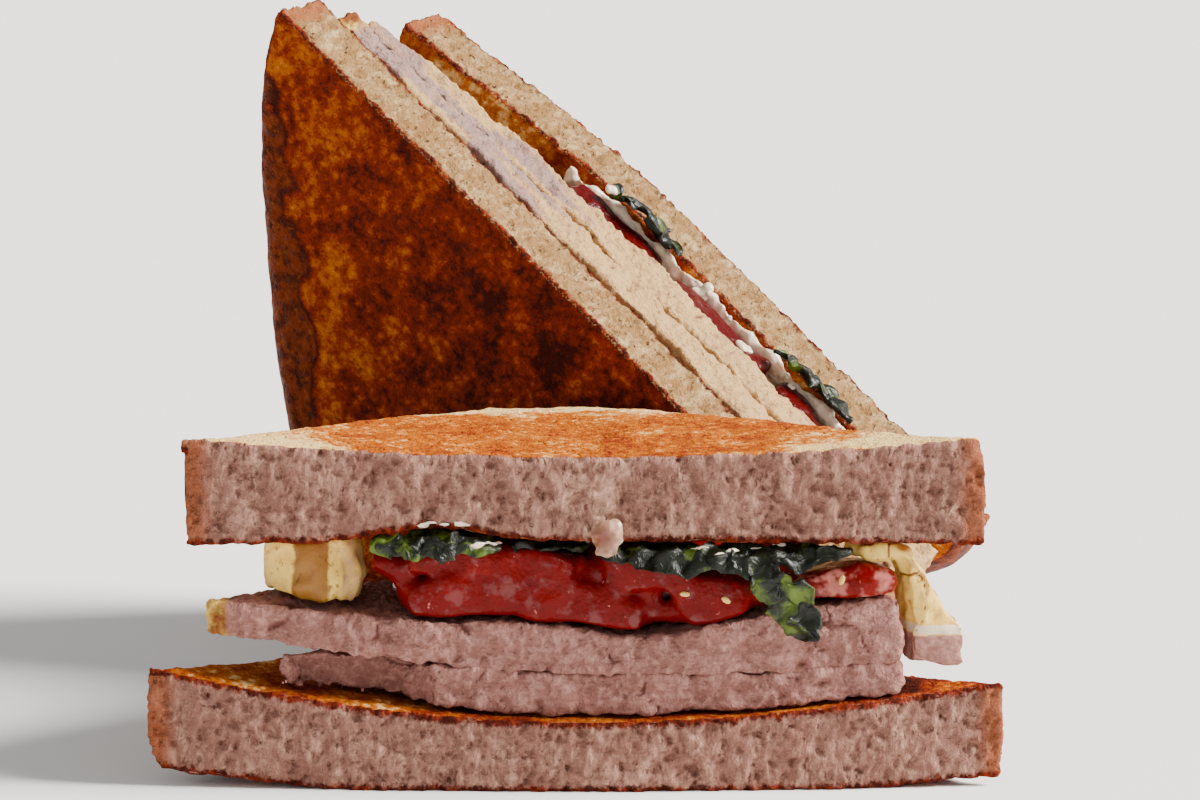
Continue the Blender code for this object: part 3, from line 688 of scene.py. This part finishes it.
def deep_brown(layer, seed):
    """A dark, mottled toasted face with a streaky margin along its crusts."""
    place = layer.place
    left, right = from_crust(place, layer.ends)
    margin = np.minimum(left, right)
    along = np.stack([left, place[:, 0] + place[:, 1], place[:, 2]], axis=1)
    streaks = cloud(along, (1.6 * MM, 9 * MM, 3 * MM), seed + 5)
    mottle = 0.13 * cloud(place, 10 * MM, seed) + 0.12 * cloud(place, 4 * MM, seed + 1)
    dark = mound(place, (30 * MM, 16 * MM), (36 * MM, 24 * MM))
    inner = climb(margin + 4 * MM * cloud(place, 8 * MM, seed + 2), 13 * MM, 21 * MM)
    return 0.53 + 0.1 * inner + mottle + 0.1 * streaks * (1 - inner) + 0.18 * dark


def golden_patch(layer, seed):
    """A golden patch in the middle of the face with pale margins all round."""
    place = layer.place
    off = ((place[:, 0] + 2 * MM) / (62 * MM)) ** 2 + ((place[:, 1] - 22 * MM) / (32 * MM)) ** 2
    edge = 0.25 * cloud(place, 9 * MM, seed) + 0.15 * cloud(place, 3.5 * MM, seed + 1)
    patch = 1 - climb(off + edge, 0.55, 1.25)
    return 0.38 * patch + 0.08 * cloud(place, 6 * MM, seed + 2)


def inner_brown(layer, seed):
    """The toasted side that faces the filling: browner towards its right end, where no filling keeps it moist,
    and paler at its left end as painted light against the shade there.
    """
    place = layer.place
    # The left end is kept paler: painted light against the shade that the upper slice casts there.
    ends = climb(place[:, 0], 30 * MM, 70 * MM) - 1.4 * climb(-place[:, 0], 30 * MM, 60 * MM)
    return 0.5 + 0.1 * ends + 0.2 * cloud(place, 9 * MM, seed) + 0.12 * cloud(place, 4 * MM, seed + 1)


TOAST_SLICES = (
    ("front_toast_below", "front_bread_bottom", deep_brown, inner_brown, 101),
    ("front_toast_above", "front_bread_top", inner_brown, golden_patch, 131),
    ("rear_toast_near", "rear_bread_outer", deep_brown, inner_brown, 161),
    ("rear_toast_far", "rear_bread_inner", inner_brown, deep_brown, 191),
)


def nearness(points, targets, reach):
    """1 for a point at the nearest target, falling to 0 at this reach."""
    tree = KDTree(len(targets))
    for i, target in enumerate(targets):
        tree.insert(target, i)
    tree.balance()
    return 1 - np.array([min(tree.find(point)[2], reach) for point in points]) / reach


# The mayonnaise that is rubbed into the lying half's crumb: its place on the cut and its spread
SMEAR_CENTRE = (4 * MM, 59 * MM)
SMEAR_SPREAD = (3 * MM, 8 * MM)


# How much coarser the standing half's larger slices are meshed
REAR_COARSER = 1.12


def build_toast(settings):
    """Slices of toast with pores in their cut, and the marks by which the look tells crumb from crust."""
    look = toast_look(settings)
    for name, node, lower_browning, upper_browning, seed in TOAST_SLICES:
        coarser = REAR_COARSER if node.startswith("rear") else 1.0
        layer = Layer(name, (node,), settings.face_size * coarser)
        place, facing = layer.place, layer.facing
        cut = climb(-facing[:, 1], 0.45, 0.75) * climb(-place[:, 1], -11 * MM, -7 * MM)
        upper = climb(facing[:, 2], 0.45, 0.75) * (1 - cut)
        lower = climb(-facing[:, 2], 0.45, 0.75) * (1 - cut)
        crust = np.clip(1 - cut - upper - lower, 0, 1)
        layer.smooth(0.5 * climb(place[:, 1], 2 * MM, 7 * MM), 30)
        place = layer.place
        margin = np.minimum(*from_crust(place, layer.ends)) + 2.5 * MM * cloud(place, 6 * MM, seed + 50)
        inwards = np.minimum(place[:, 0] - place[:, 0].min(), place[:, 0].max() - place[:, 0])
        smear = mound(place[:, [0, 2]], SMEAR_CENTRE, SMEAR_SPREAD) * (node == "front_bread_top")
        outer = lower * (lower_browning is deep_brown) + upper * (upper_browning is deep_brown)
        crust = np.maximum(crust, outer * (1 - climb(margin, 6 * MM, 11 * MM)))
        face = (lower if upper_browning is golden_patch else upper + lower) > 0.5
        face &= (cut < 0.3) & (place[:, 1] < 6 * MM)
        near_cut = cut > 0.1
        rim = np.zeros(len(place))
        rim[near_cut] = nearness(layer.points[near_cut], layer.points[face], 2.8 * MM)
        # The pores' depth is also kept for the look, which paints shade in them.
        coarse = hollows(place, settings.pore_size, 0.62, seed)
        fine = hollows(place, 0.5 * settings.pore_size, 0.7, seed + 20)
        grain = cloud(place, 1.9 * MM, seed + 40) + 0.6 * cloud(place, 1.1 * MM, seed + 41)
        sheltered = 1 - 0.7 * rim
        pores = (coarse * settings.pore_depth + 0.45 * fine * settings.pore_depth) * sheltered
        toasted = 0.3 * MM * cloud(place, 11 * MM, seed + 42) - 0.22 * MM * fine + 0.1 * MM * grain
        rind = 0.35 * MM * cloud(place, 8 * MM, seed + 43) + 0.08 * MM * grain
        layer.raise_by(cut * (0.3 * MM * grain - pores + 0.5 * MM) + (upper + lower) * toasted + crust * rind)
        brown = upper * upper_browning(layer, seed + 60) + lower * lower_browning(layer, seed + 70)
        brown += (cut + crust) * 0.78
        # Rear picks the crumb's lit copy for the standing half, in place of the shaded copy.
        layer.finish(
            look, "toasted_bread", cut=cut, crust=crust, brown=brown, rim=rim * near_cut,
            pit=np.clip(coarse + 0.5 * fine, 0, 1) * cut, side=1 - climb(inwards, 0, 9 * MM), smear=smear,
            rear=np.full(len(place), float(node.startswith("rear"))),
        )


# The filling


def warped(points, place, size, amount, seed):
    """The points, each pushed by this much in soft waves of this size, by their place."""
    return points + amount * np.stack([cloud(place, size, seed + axis) for axis in range(3)], axis=1)


# Where the meat's left tips stop being all browned, and where their browning ends
LEFT_TIP = (-76 * MM, -70 * MM)
REAR_TIP = (-88 * MM, -76 * MM)


def build_turkey(settings):
    """Granular meat with thin upright cracks. The lying half's slices are pressed into one block."""
    look = turkey_look(settings)
    nodes = ("front_turkey_lower", "front_turkey_upper", "rear_turkey_outer", "rear_turkey_inner")
    names = [node.replace("turkey", "meat") for node in nodes]
    layers = [Layer(name, (node,), settings.face_size, smoothing=2) for name, node in zip(names, nodes)]
    for number, (node, layer) in enumerate(zip(nodes, layers)):
        seed = 300 + 20 * number
        place = layer.place
        bent = warped(place, place, 9 * MM, 2.5 * MM, seed + 7)
        bent = warped(bent, bent, 2.6 * MM, 0.8 * MM, seed + 11)
        lines = np.abs(cloud(bent, (9 * MM, 9 * MM, 20 * MM), seed))
        cracks = (1 - climb(lines, 0.01, 0.05)) * climb(cloud(place, 11 * MM, seed + 1), 0.15, 0.5)
        holes = hollows(place, 3.4 * MM, 0.2, seed + 5)
        grain = cloud(bent, 2.4 * MM, seed + 2) + 0.8 * cloud(bent, 1.3 * MM, seed + 3)
        swell = cloud(bent, (7 * MM, 7 * MM, 5 * MM), seed + 4)
        folds = 1 - climb(np.abs(cloud(bent, (3.4 * MM, 3.4 * MM, 2.6 * MM), seed + 6)), 0.0, 0.3)
        heights = 0.2 * MM + 0.3 * MM * swell + settings.grain_depth * grain
        heights -= 0.5 * MM * cracks + 0.45 * MM * holes + 0.3 * MM * folds
        if node.startswith("front"):
            other = layers[1 - number]
            heights += 0.6 * MM * pressed_edge(layer, other) * climb(cloud(place, 8 * MM, 377), -0.7, 0.1)
        layer.raise_by(heights)
        tip = REAR_TIP if node.startswith("rear") else LEFT_TIP
        rear = float(node.startswith("rear"))
        streaky = cloud(place, (22 * MM, 9 * MM, 3 * MM), seed + 8)
        lower_end = climb(place[:, 0] + 12 * MM * streaky, -34 * MM, -16 * MM)
        cream = rear * np.maximum(climb(streaky, 0.1, 0.5), lower_end)
        # The cracks, holes and folds are kept for the look, which paints shade in them.
        layer.finish(
            look, "turkey", pit=np.clip(cracks + 0.7 * holes + 0.3 * folds, 0, 1),
            roast=1 - climb(place[:, 0], *tip), grey=rear - cream, cream=cream,
        )


def pressed_edge(layer, other):
    """1 along the cut where this slice is pressed to the other one, 0 elsewhere."""
    place = layer.place
    seen = (place[:, 1] < 3 * MM) & (place[:, 0] > -30 * MM)
    edge = np.zeros(len(place))
    targets = other.points[(other.place[:, 1] < 5 * MM) & (other.place[:, 0] > -34 * MM)]
    edge[seen] = nearness(layer.points[seen], targets, 1.8 * MM)
    return edge


def build_roasted_edges(settings):
    """Folded, freckled ends: each crease is a thin line of painted shade, and the right one shows meat under
    its skin.
    """
    look = roast_look(settings)
    for number, side in enumerate(("left", "right")):
        seed = 420 + 20 * number
        layer = Layer(f"roasted_end_{side}", (f"front_turkey_edge_{side}",), 0.5 * MM, smoothing=6)
        place = layer.place
        bent = warped(place, place, 6 * MM, 2 * MM, seed + 7)
        lines = np.abs(cloud(bent, (6 * MM, 6 * MM, 16 * MM), seed))
        creases = (1 - climb(lines, 0.015, 0.07)) * climb(cloud(place, 9 * MM, seed + 1), -0.1, 0.3)
        swell = cloud(bent, (4 * MM, 4 * MM, 9 * MM), seed + 2) + 0.4 * cloud(bent, 2.4 * MM, seed + 3)
        layer.raise_by(0.7 * MM * swell - 0.5 * MM * creases)
        x, z = place[:, 0], place[:, 2]
        if side == "left":
            gold = climb(x, -62 * MM, -58 * MM) * (1 - climb(x, -54 * MM, -51 * MM))
            meat = climb(x, -52 * MM, -49 * MM) * 0.5
            band = np.zeros(len(x))
        else:
            gold = 0.25 + 0.4 * mound(place, (73 * MM, 6 * MM), (5 * MM, 9 * MM))
            meat = 1 - climb(z, 30.5 * MM, 32 * MM)
            band = climb(z, 31 * MM, 32 * MM) * (1 - climb(z, 33 * MM, 34 * MM))
        # The creases are kept for the look, which paints shade in them.
        layer.finish(look, "roasted_edge", pit=creases, gold=gold, meat=meat, band=band)


# The pulp between the lying half's tomato slices and the meat: how deep it lies, how thick it is, and the
# line that it follows, by place along the cut and height
PULP_DEPTH = 4 * MM
PULP_RADIUS = 3 * MM
PULP_LINE = ((4 * MM, 38 * MM), (17 * MM, 35.5 * MM), (43 * MM, 41.5 * MM))
PULP_STEPS = 12
MIDDLE_PULP = ((-2 * MM, 45.6 * MM), (1 * MM, 43 * MM), (8 * MM, 41 * MM), (13 * MM, 39.7 * MM))
LEFT_PULP = ((-41 * MM, 46.2 * MM), (-38 * MM, 44.6 * MM), (-36 * MM, 41.6 * MM))


def pulp_blobs():
    """Soft lumps that fill in under the tomato slices near the cut."""
    along, heights = zip(*PULP_LINE)
    spots = [(x, float(np.interp(x, along, heights))) for x in np.linspace(along[0], along[-1], PULP_STEPS)]
    return [((x, PULP_DEPTH, z), PULP_RADIUS) for x, z in (*spots, *MIDDLE_PULP, *LEFT_PULP)]


def build_tomato(settings):
    """Soft wet slices: the lying half's run into one another, and the standing half's are painted dark all
    over with the skin's colour, as painted shade.
    """
    look = tomato_look(settings)
    front = tuple(sorted(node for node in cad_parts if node.startswith("front_tomato")))
    groups = [("tomato_flesh", front, 0.9 * MM, pulp_blobs())]
    for node in sorted(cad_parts):
        if node.startswith("rear_tomato"):
            groups.append((node.replace("tomato", "tomato_slice"), (node,), 0.0, ()))
    for number, (name, nodes, grown, blobs) in enumerate(groups):
        seed = 500 + 20 * number
        layer = Layer(name, nodes, settings.face_size, 24, grown, blobs)
        place = layer.place
        side = 1 - np.abs(layer.facing[:, 2])
        skin = climb(side, 0.5, 0.8) * climb(place[:, 1], 3 * MM, 6 * MM)
        bent = warped(place, place, 7 * MM, 1.5 * MM, seed + 4)
        soft = cloud(bent, 8 * MM, seed) + 0.3 * cloud(bent, 3 * MM, seed + 1)
        layer.raise_by(0.5 * MM * soft * (1 - 0.7 * skin))
        if name == "tomato_flesh":
            upper = climb(place[:, 2], 42.5 * MM, 45 * MM)
            # Towards the right end, pale rises past 0.75, where the look paints a highlight over the paler
            # walls.
            right = 0.5 + 0.4 * climb(place[:, 0], 36 * MM, 44 * MM)
            pale = np.where(place[:, 0] < 5 * MM, 0.6 * upper, right)
        else:
            pale = np.zeros(len(place))
            # The standing half's slices get the dark skin colour all over: painted shade.
            skin = np.ones(len(place))
        layer.finish(look, "tomato", skin=skin, pale=pale)


# How much more painted light these leaves get than the others: lit green patches over shaded dark green
LEAF_LIGHT = {
    "front_leaf_left": 0.15,
    "front_leaf_hanging": 0.1,
    "front_leaf_dark": -0.5,
    "front_leaf_right": -0.35,
}


def build_greens(settings):
    """Splits each leaf's faces evenly and ruffles them."""
    look = leaf_look(settings)
    nodes = sorted(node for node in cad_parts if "leaf" in node)
    for number, node in enumerate(nodes):
        seed = 700 + 20 * number
        name = node.replace("leaf", "salad_leaf")
        obj = linked(name, joined_mesh(name, (node,)))
        finer = obj.modifiers.new("finer", "SUBSURF")
        finer.levels = finer.render_levels = 2
        mesh = apply_modifiers(obj)
        points = points_of(mesh)
        half = REAR_PLACE if node.startswith("rear") else FRONT_PLACE
        place = (points - np.array(half.translation)) @ np.array(half.to_3x3())
        ruffled = warped(points, place, 3.2 * MM, 0.9 * MM, seed)
        set_points(mesh, warped(ruffled, place, 1.7 * MM, 0.6 * MM, seed + 5))
        store(mesh, place=place, light=LEAF_LIGHT.get(node, 0.0) + 0.6 * cloud(place, 2.8 * MM, seed + 9))
        dress(obj, look, "leaf", node)


def build_mayonnaise(settings):
    """The sheets and the drip, slightly lumpy. The drip is warmer where it has melted in."""
    look = mayonnaise_look(settings)
    for number, node in enumerate(("front_mayonnaise", "front_mayonnaise_drip", "rear_mayonnaise")):
        seed = 900 + 20 * number
        drip = float(node.endswith("drip"))
        layer = Layer(node.replace("mayonnaise", "sauce"), (node,), 0.45 * MM, smoothing=40 if drip else 8)
        place = layer.place
        lumpy = cloud(place, 3.2 * MM, seed) + 0.5 * cloud(place, 1.4 * MM, seed + 1)
        layer.raise_by(0.7 * MM * lumpy - 0.3 * MM * drip)
        spot = mound(place[:, [0, 2]], (3.6 * MM, 53 * MM), (2.2 * MM, 2.6 * MM))
        layer.finish(look, "mayonnaise", melted=drip * (0.45 + spot))


# The photograph's rays, for small things that lie where it shows them


def camera_place(settings):
    """Where the camera stands, and its turn to the aim point."""
    near = Vector((FRONT_PLACE.translation.x, FRONT_PLACE.translation.y, FRONT_MIDDLE))
    back = Vector((0, -math.cos(settings.elevation), math.sin(settings.elevation)))
    at = near + back * settings.distance
    turn = (Vector(settings.aim) - at).to_track_quat("-Z", "Y")
    return at, turn


def photo_ray(settings, across, down):
    """The ray through a pixel of the photograph: its start and its direction."""
    at, turn = camera_place(settings)
    per_pixel = SENSOR_WIDTH / PHOTO_WIDTH
    right, up = across - PHOTO_WIDTH / 2, PHOTO_HEIGHT / 2 - down
    way = Vector((right * per_pixel, up * per_pixel, -settings.lens))
    return at, (turn @ way).normalized()


class Surfaces:
    """The dressed pieces that small things can lie on."""

    def __init__(self, names):
        graph = bpy.context.evaluated_depsgraph_get()
        self.trees = [BVHTree.FromObject(bpy.data.objects[name], graph) for name in names]

    def under(self, settings, across, down):
        """The first surface behind a pixel of the photograph: its point and its normal."""
        at, way = photo_ray(settings, across, down)
        hits = [tree.ray_cast(at, way) for tree in self.trees]
        hits = [hit for hit in hits if hit[0] is not None]
        if not hits:
            raise RuntimeError(f"nothing lies behind ({across}, {down})")
        best = min(hits, key=lambda hit: hit[3])
        return best[0], best[1]


def shown_pieces():
    return [obj.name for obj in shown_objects() if obj.type == "MESH"]


def lumps(name, spots, face_size, smoothing):
    """One closed mesh of rounded lumps: each spot has a centre, three half-sizes and a turn."""
    mesh = bmesh.new()
    for centre, sizes, turn in spots:
        where = Matrix.Translation(centre) @ turn.to_matrix().to_4x4() @ Matrix.Diagonal((*sizes, 1))
        bmesh.ops.create_icosphere(mesh, subdivisions=3, radius=1.0, matrix=where)
    data = bpy.data.meshes.new(name)
    mesh.to_mesh(data)
    mesh.free()
    return even_piece(name, data, face_size, smoothing)


# Mayonnaise that shows at the cuts: where in the photograph, and its width, height and depth in millimetres
SAUCE_SPOTS = (
    (424, 526, 3.6, 1.2, 1.0), (438, 524, 3.4, 1.0, 1.0), (461, 524, 3.0, 1.0, 1.0),
    (478, 546, 3.6, 1.4, 1.2), (494, 543, 3.0, 1.6, 1.2), (700, 548, 4.4, 1.0, 1.0),
    (726, 551, 4.6, 1.1, 1.0), (756, 548, 4.2, 1.0, 1.0), (781, 545, 3.0, 1.0, 1.0),
    (612, 190, 2.6, 3.4, 2.0), (702, 290, 3.4, 3.6, 2.2), (746, 348, 3.2, 3.4, 2.2),
    (778, 380, 4.4, 3.0, 2.2), (792, 386, 3.4, 2.4, 2.2), (726, 322, 2.4, 2.4, 2.0),
)
LUMPS_A_SPOT = 5
SAUCE_CHANCE = 17

# Where seeds show on the tomato in the photograph, and half the length, width and thickness of one
SEED_SPOTS = ((685, 594), (842, 580), (726, 600))
SEED_SIZE = Vector((1.2, 0.7, 0.4)) * MM


def build_sauce_bits(settings, stage):
    """Rounded lumps of mayonnaise on whatever the photograph shows them on."""
    surfaces = Surfaces(shown_pieces())
    chance = random.Random(SAUCE_CHANCE)
    spots = []
    for across, down, width, height, depth in SAUCE_SPOTS:
        point, normal = surfaces.under(stage, across, down)
        turn = normal.to_track_quat("Z", "Y")
        for _ in range(LUMPS_A_SPOT):
            offset = Vector((chance.uniform(-0.45, 0.45) * width, chance.uniform(-0.45, 0.45) * height, 0))
            sizes = Vector((width, height, depth)) * (0.5 * MM * chance.uniform(0.45, 0.85))
            spots.append((point + turn @ (offset * MM), sizes, turn))
    obj = lumps("sauce_bits", spots, 0.35 * MM, 4)
    place = points_of(obj.data)
    store(obj.data, place=place, melted=np.zeros(len(place)))
    dress(obj, mayonnaise_look(settings), "mayonnaise")


def build_seeds(settings, stage):
    """Flat seeds on the tomato, each turned another way."""
    surfaces = Surfaces([name for name in shown_pieces() if "tomato" in name])
    spots = []
    for number, (across, down) in enumerate(SEED_SPOTS):
        point, normal = surfaces.under(stage, across, down)
        turn = normal.to_track_quat("Z", "Y") @ Matrix.Rotation(number * 1.3, 3, "Z").to_quaternion()
        spots.append((point + normal * 0.1 * MM, SEED_SIZE, turn))
    obj = lumps("tomato_seeds", spots, 0.25 * MM, 2)
    store(obj.data, place=points_of(obj.data))
    dress(obj, seed_look(settings), "tomato")


# Operators, one for each group of pieces


class SANDWICH_OT_toast(bpy.types.Operator):
    """Put crumb, browning and crust on the four slices of toast"""

    bl_idname = "sandwich.toast"
    bl_label = "Toast slices"

    def execute(self, context):
        build_toast(context.scene.sandwich_toast)
        return {"FINISHED"}


class SANDWICH_OT_turkey(bpy.types.Operator):
    """Give the sliced turkey its grain and breaks"""

    bl_idname = "sandwich.turkey"
    bl_label = "Turkey"

    def execute(self, context):
        build_turkey(context.scene.sandwich_filling)
        return {"FINISHED"}


class SANDWICH_OT_roasted_edges(bpy.types.Operator):
    """Fold and brown the roasted ends of the turkey"""

    bl_idname = "sandwich.roasted_edges"
    bl_label = "Roasted edges"

    def execute(self, context):
        build_roasted_edges(context.scene.sandwich_filling)
        return {"FINISHED"}


class SANDWICH_OT_tomato(bpy.types.Operator):
    """Make the tomato slices wet, lumpy and red"""

    bl_idname = "sandwich.tomato"
    bl_label = "Tomato"

    def execute(self, context):
        build_tomato(context.scene.sandwich_filling)
        return {"FINISHED"}


class SANDWICH_OT_greens(bpy.types.Operator):
    """Ruffle the leaves and give them veins"""

    bl_idname = "sandwich.greens"
    bl_label = "Greens"

    def execute(self, context):
        build_greens(context.scene.sandwich_filling)
        return {"FINISHED"}


class SANDWICH_OT_mayonnaise(bpy.types.Operator):
    """Smooth the layers of mayonnaise"""

    bl_idname = "sandwich.mayonnaise"
    bl_label = "Mayonnaise"

    def execute(self, context):
        build_mayonnaise(context.scene.sandwich_filling)
        return {"FINISHED"}


class SANDWICH_OT_sauce_bits(bpy.types.Operator):
    """Set small lumps of mayonnaise along the cuts"""

    bl_idname = "sandwich.sauce_bits"
    bl_label = "Mayonnaise bits"

    def execute(self, context):
        build_sauce_bits(context.scene.sandwich_filling, context.scene.sandwich_stage)
        return {"FINISHED"}


class SANDWICH_OT_seeds(bpy.types.Operator):
    """Set seeds on the tomato's cut sides"""

    bl_idname = "sandwich.seeds"
    bl_label = "Tomato seeds"

    def execute(self, context):
        build_seeds(context.scene.sandwich_filling, context.scene.sandwich_stage)
        return {"FINISHED"}


# The stage: the camera's clipping, the floor's half-width, a broad low sun and a soft light in front
CLIP_NEAR, CLIP_FAR = 0.05, 20
FLOOR_REACH = 3
SUN_WAY = Vector((-0.82, 0.05, -0.55))
SUN_ANGLE = math.radians(24)
SUN_TINT = (1, 0.97, 0.92)
FILL_PLACE = Vector((-0.45, -0.8, 0.45))
FILL_AIM = Vector((0, 0, 0.05))
FILL_SIZE = 0.7
FILL_TINT = (1, 0.96, 0.93)


def add_light(name, kind, power, way, tint):
    data = bpy.data.lights.new(name, kind)
    data.energy = power
    data.color = tint
    light = linked(name, data)
    light.rotation_euler = way.to_track_quat("-Z", "Y").to_euler()
    return light


class SANDWICH_OT_stage(bpy.types.Operator):
    """Set up the floor, the camera and the lights"""

    bl_idname = "sandwich.stage"
    bl_label = "Stage"

    def execute(self, context):
        settings = context.scene.sandwich_stage
        data = bpy.data.cameras.new("photo_camera")
        data.sensor_width = SENSOR_WIDTH
        data.lens = settings.lens
        data.clip_start, data.clip_end = CLIP_NEAR, CLIP_FAR
        camera = linked("photo_camera", data)
        camera.location, turn = camera_place(settings)
        camera.rotation_euler = turn.to_euler()
        context.scene.camera = camera

        mesh = bmesh.new()
        bmesh.ops.create_grid(mesh, x_segments=1, y_segments=1, size=FLOOR_REACH)
        floor_mesh = bpy.data.meshes.new("studio_floor")
        mesh.to_mesh(floor_mesh)
        mesh.free()
        floor = linked("studio_floor", floor_mesh)
        look = Look("floor_look", roughness=0.9, Base_Color=(*settings.floor, 1))
        floor_mesh.materials.append(look.material)
        floor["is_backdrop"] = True

        add_light("key_light", "SUN", settings.key_power, SUN_WAY, SUN_TINT).data.angle = SUN_ANGLE
        fill = add_light("fill_light", "AREA", settings.fill_power, FILL_AIM - FILL_PLACE, FILL_TINT)
        fill.location = FILL_PLACE
        fill.data.size = FILL_SIZE
        world = bpy.data.worlds.new("studio")
        world.use_nodes = True
        background = world.node_tree.nodes["Background"]
        background.inputs["Color"].default_value = (1, 1, 1, 1)
        background.inputs["Strength"].default_value = settings.sky
        context.scene.world = world
        return {"FINISHED"}


OPERATORS = (
    SANDWICH_OT_stage,
    SANDWICH_OT_toast,
    SANDWICH_OT_turkey,
    SANDWICH_OT_roasted_edges,
    SANDWICH_OT_tomato,
    SANDWICH_OT_greens,
    SANDWICH_OT_mayonnaise,
    SANDWICH_OT_sauce_bits,
    SANDWICH_OT_seeds,
)


class SANDWICH_PT_sidebar(bpy.types.Panel):
    """Lists the pieces of the sandwich and their settings"""

    bl_idname = "SANDWICH_PT_sidebar"
    bl_label = "Turkey sandwich"
    bl_space_type = "VIEW_3D"
    bl_region_type = "UI"
    bl_category = "Sandwich"

    def draw(self, context):
        for operator in OPERATORS:
            self.layout.operator(operator.bl_idname)
        for group in ("sandwich_toast", "sandwich_filling", "sandwich_stage"):
            settings = getattr(context.scene, group)
            column = self.layout.column()
            for name in settings.bl_rna.properties.keys():
                if name not in ("rna_type", "name"):
                    column.prop(settings, name)


CLASSES = (ToastSettings, FillingSettings, StageSettings, *OPERATORS, SANDWICH_PT_sidebar)


def register():
    for item in CLASSES:
        bpy.utils.register_class(item)
    bpy.types.Scene.sandwich_toast = PointerProperty(type=ToastSettings)
    bpy.types.Scene.sandwich_filling = PointerProperty(type=FillingSettings)
    bpy.types.Scene.sandwich_stage = PointerProperty(type=StageSettings)


def unregister():
    for name in ("sandwich_toast", "sandwich_filling", "sandwich_stage"):
        delattr(bpy.types.Scene, name)
    for item in reversed(CLASSES):
        bpy.utils.unregister_class(item)


def main():
    register()
    for operator in OPERATORS:
        group, name = operator.bl_idname.split(".")
        getattr(getattr(bpy.ops, group), name)()


if __name__ == "__main__":
    main()
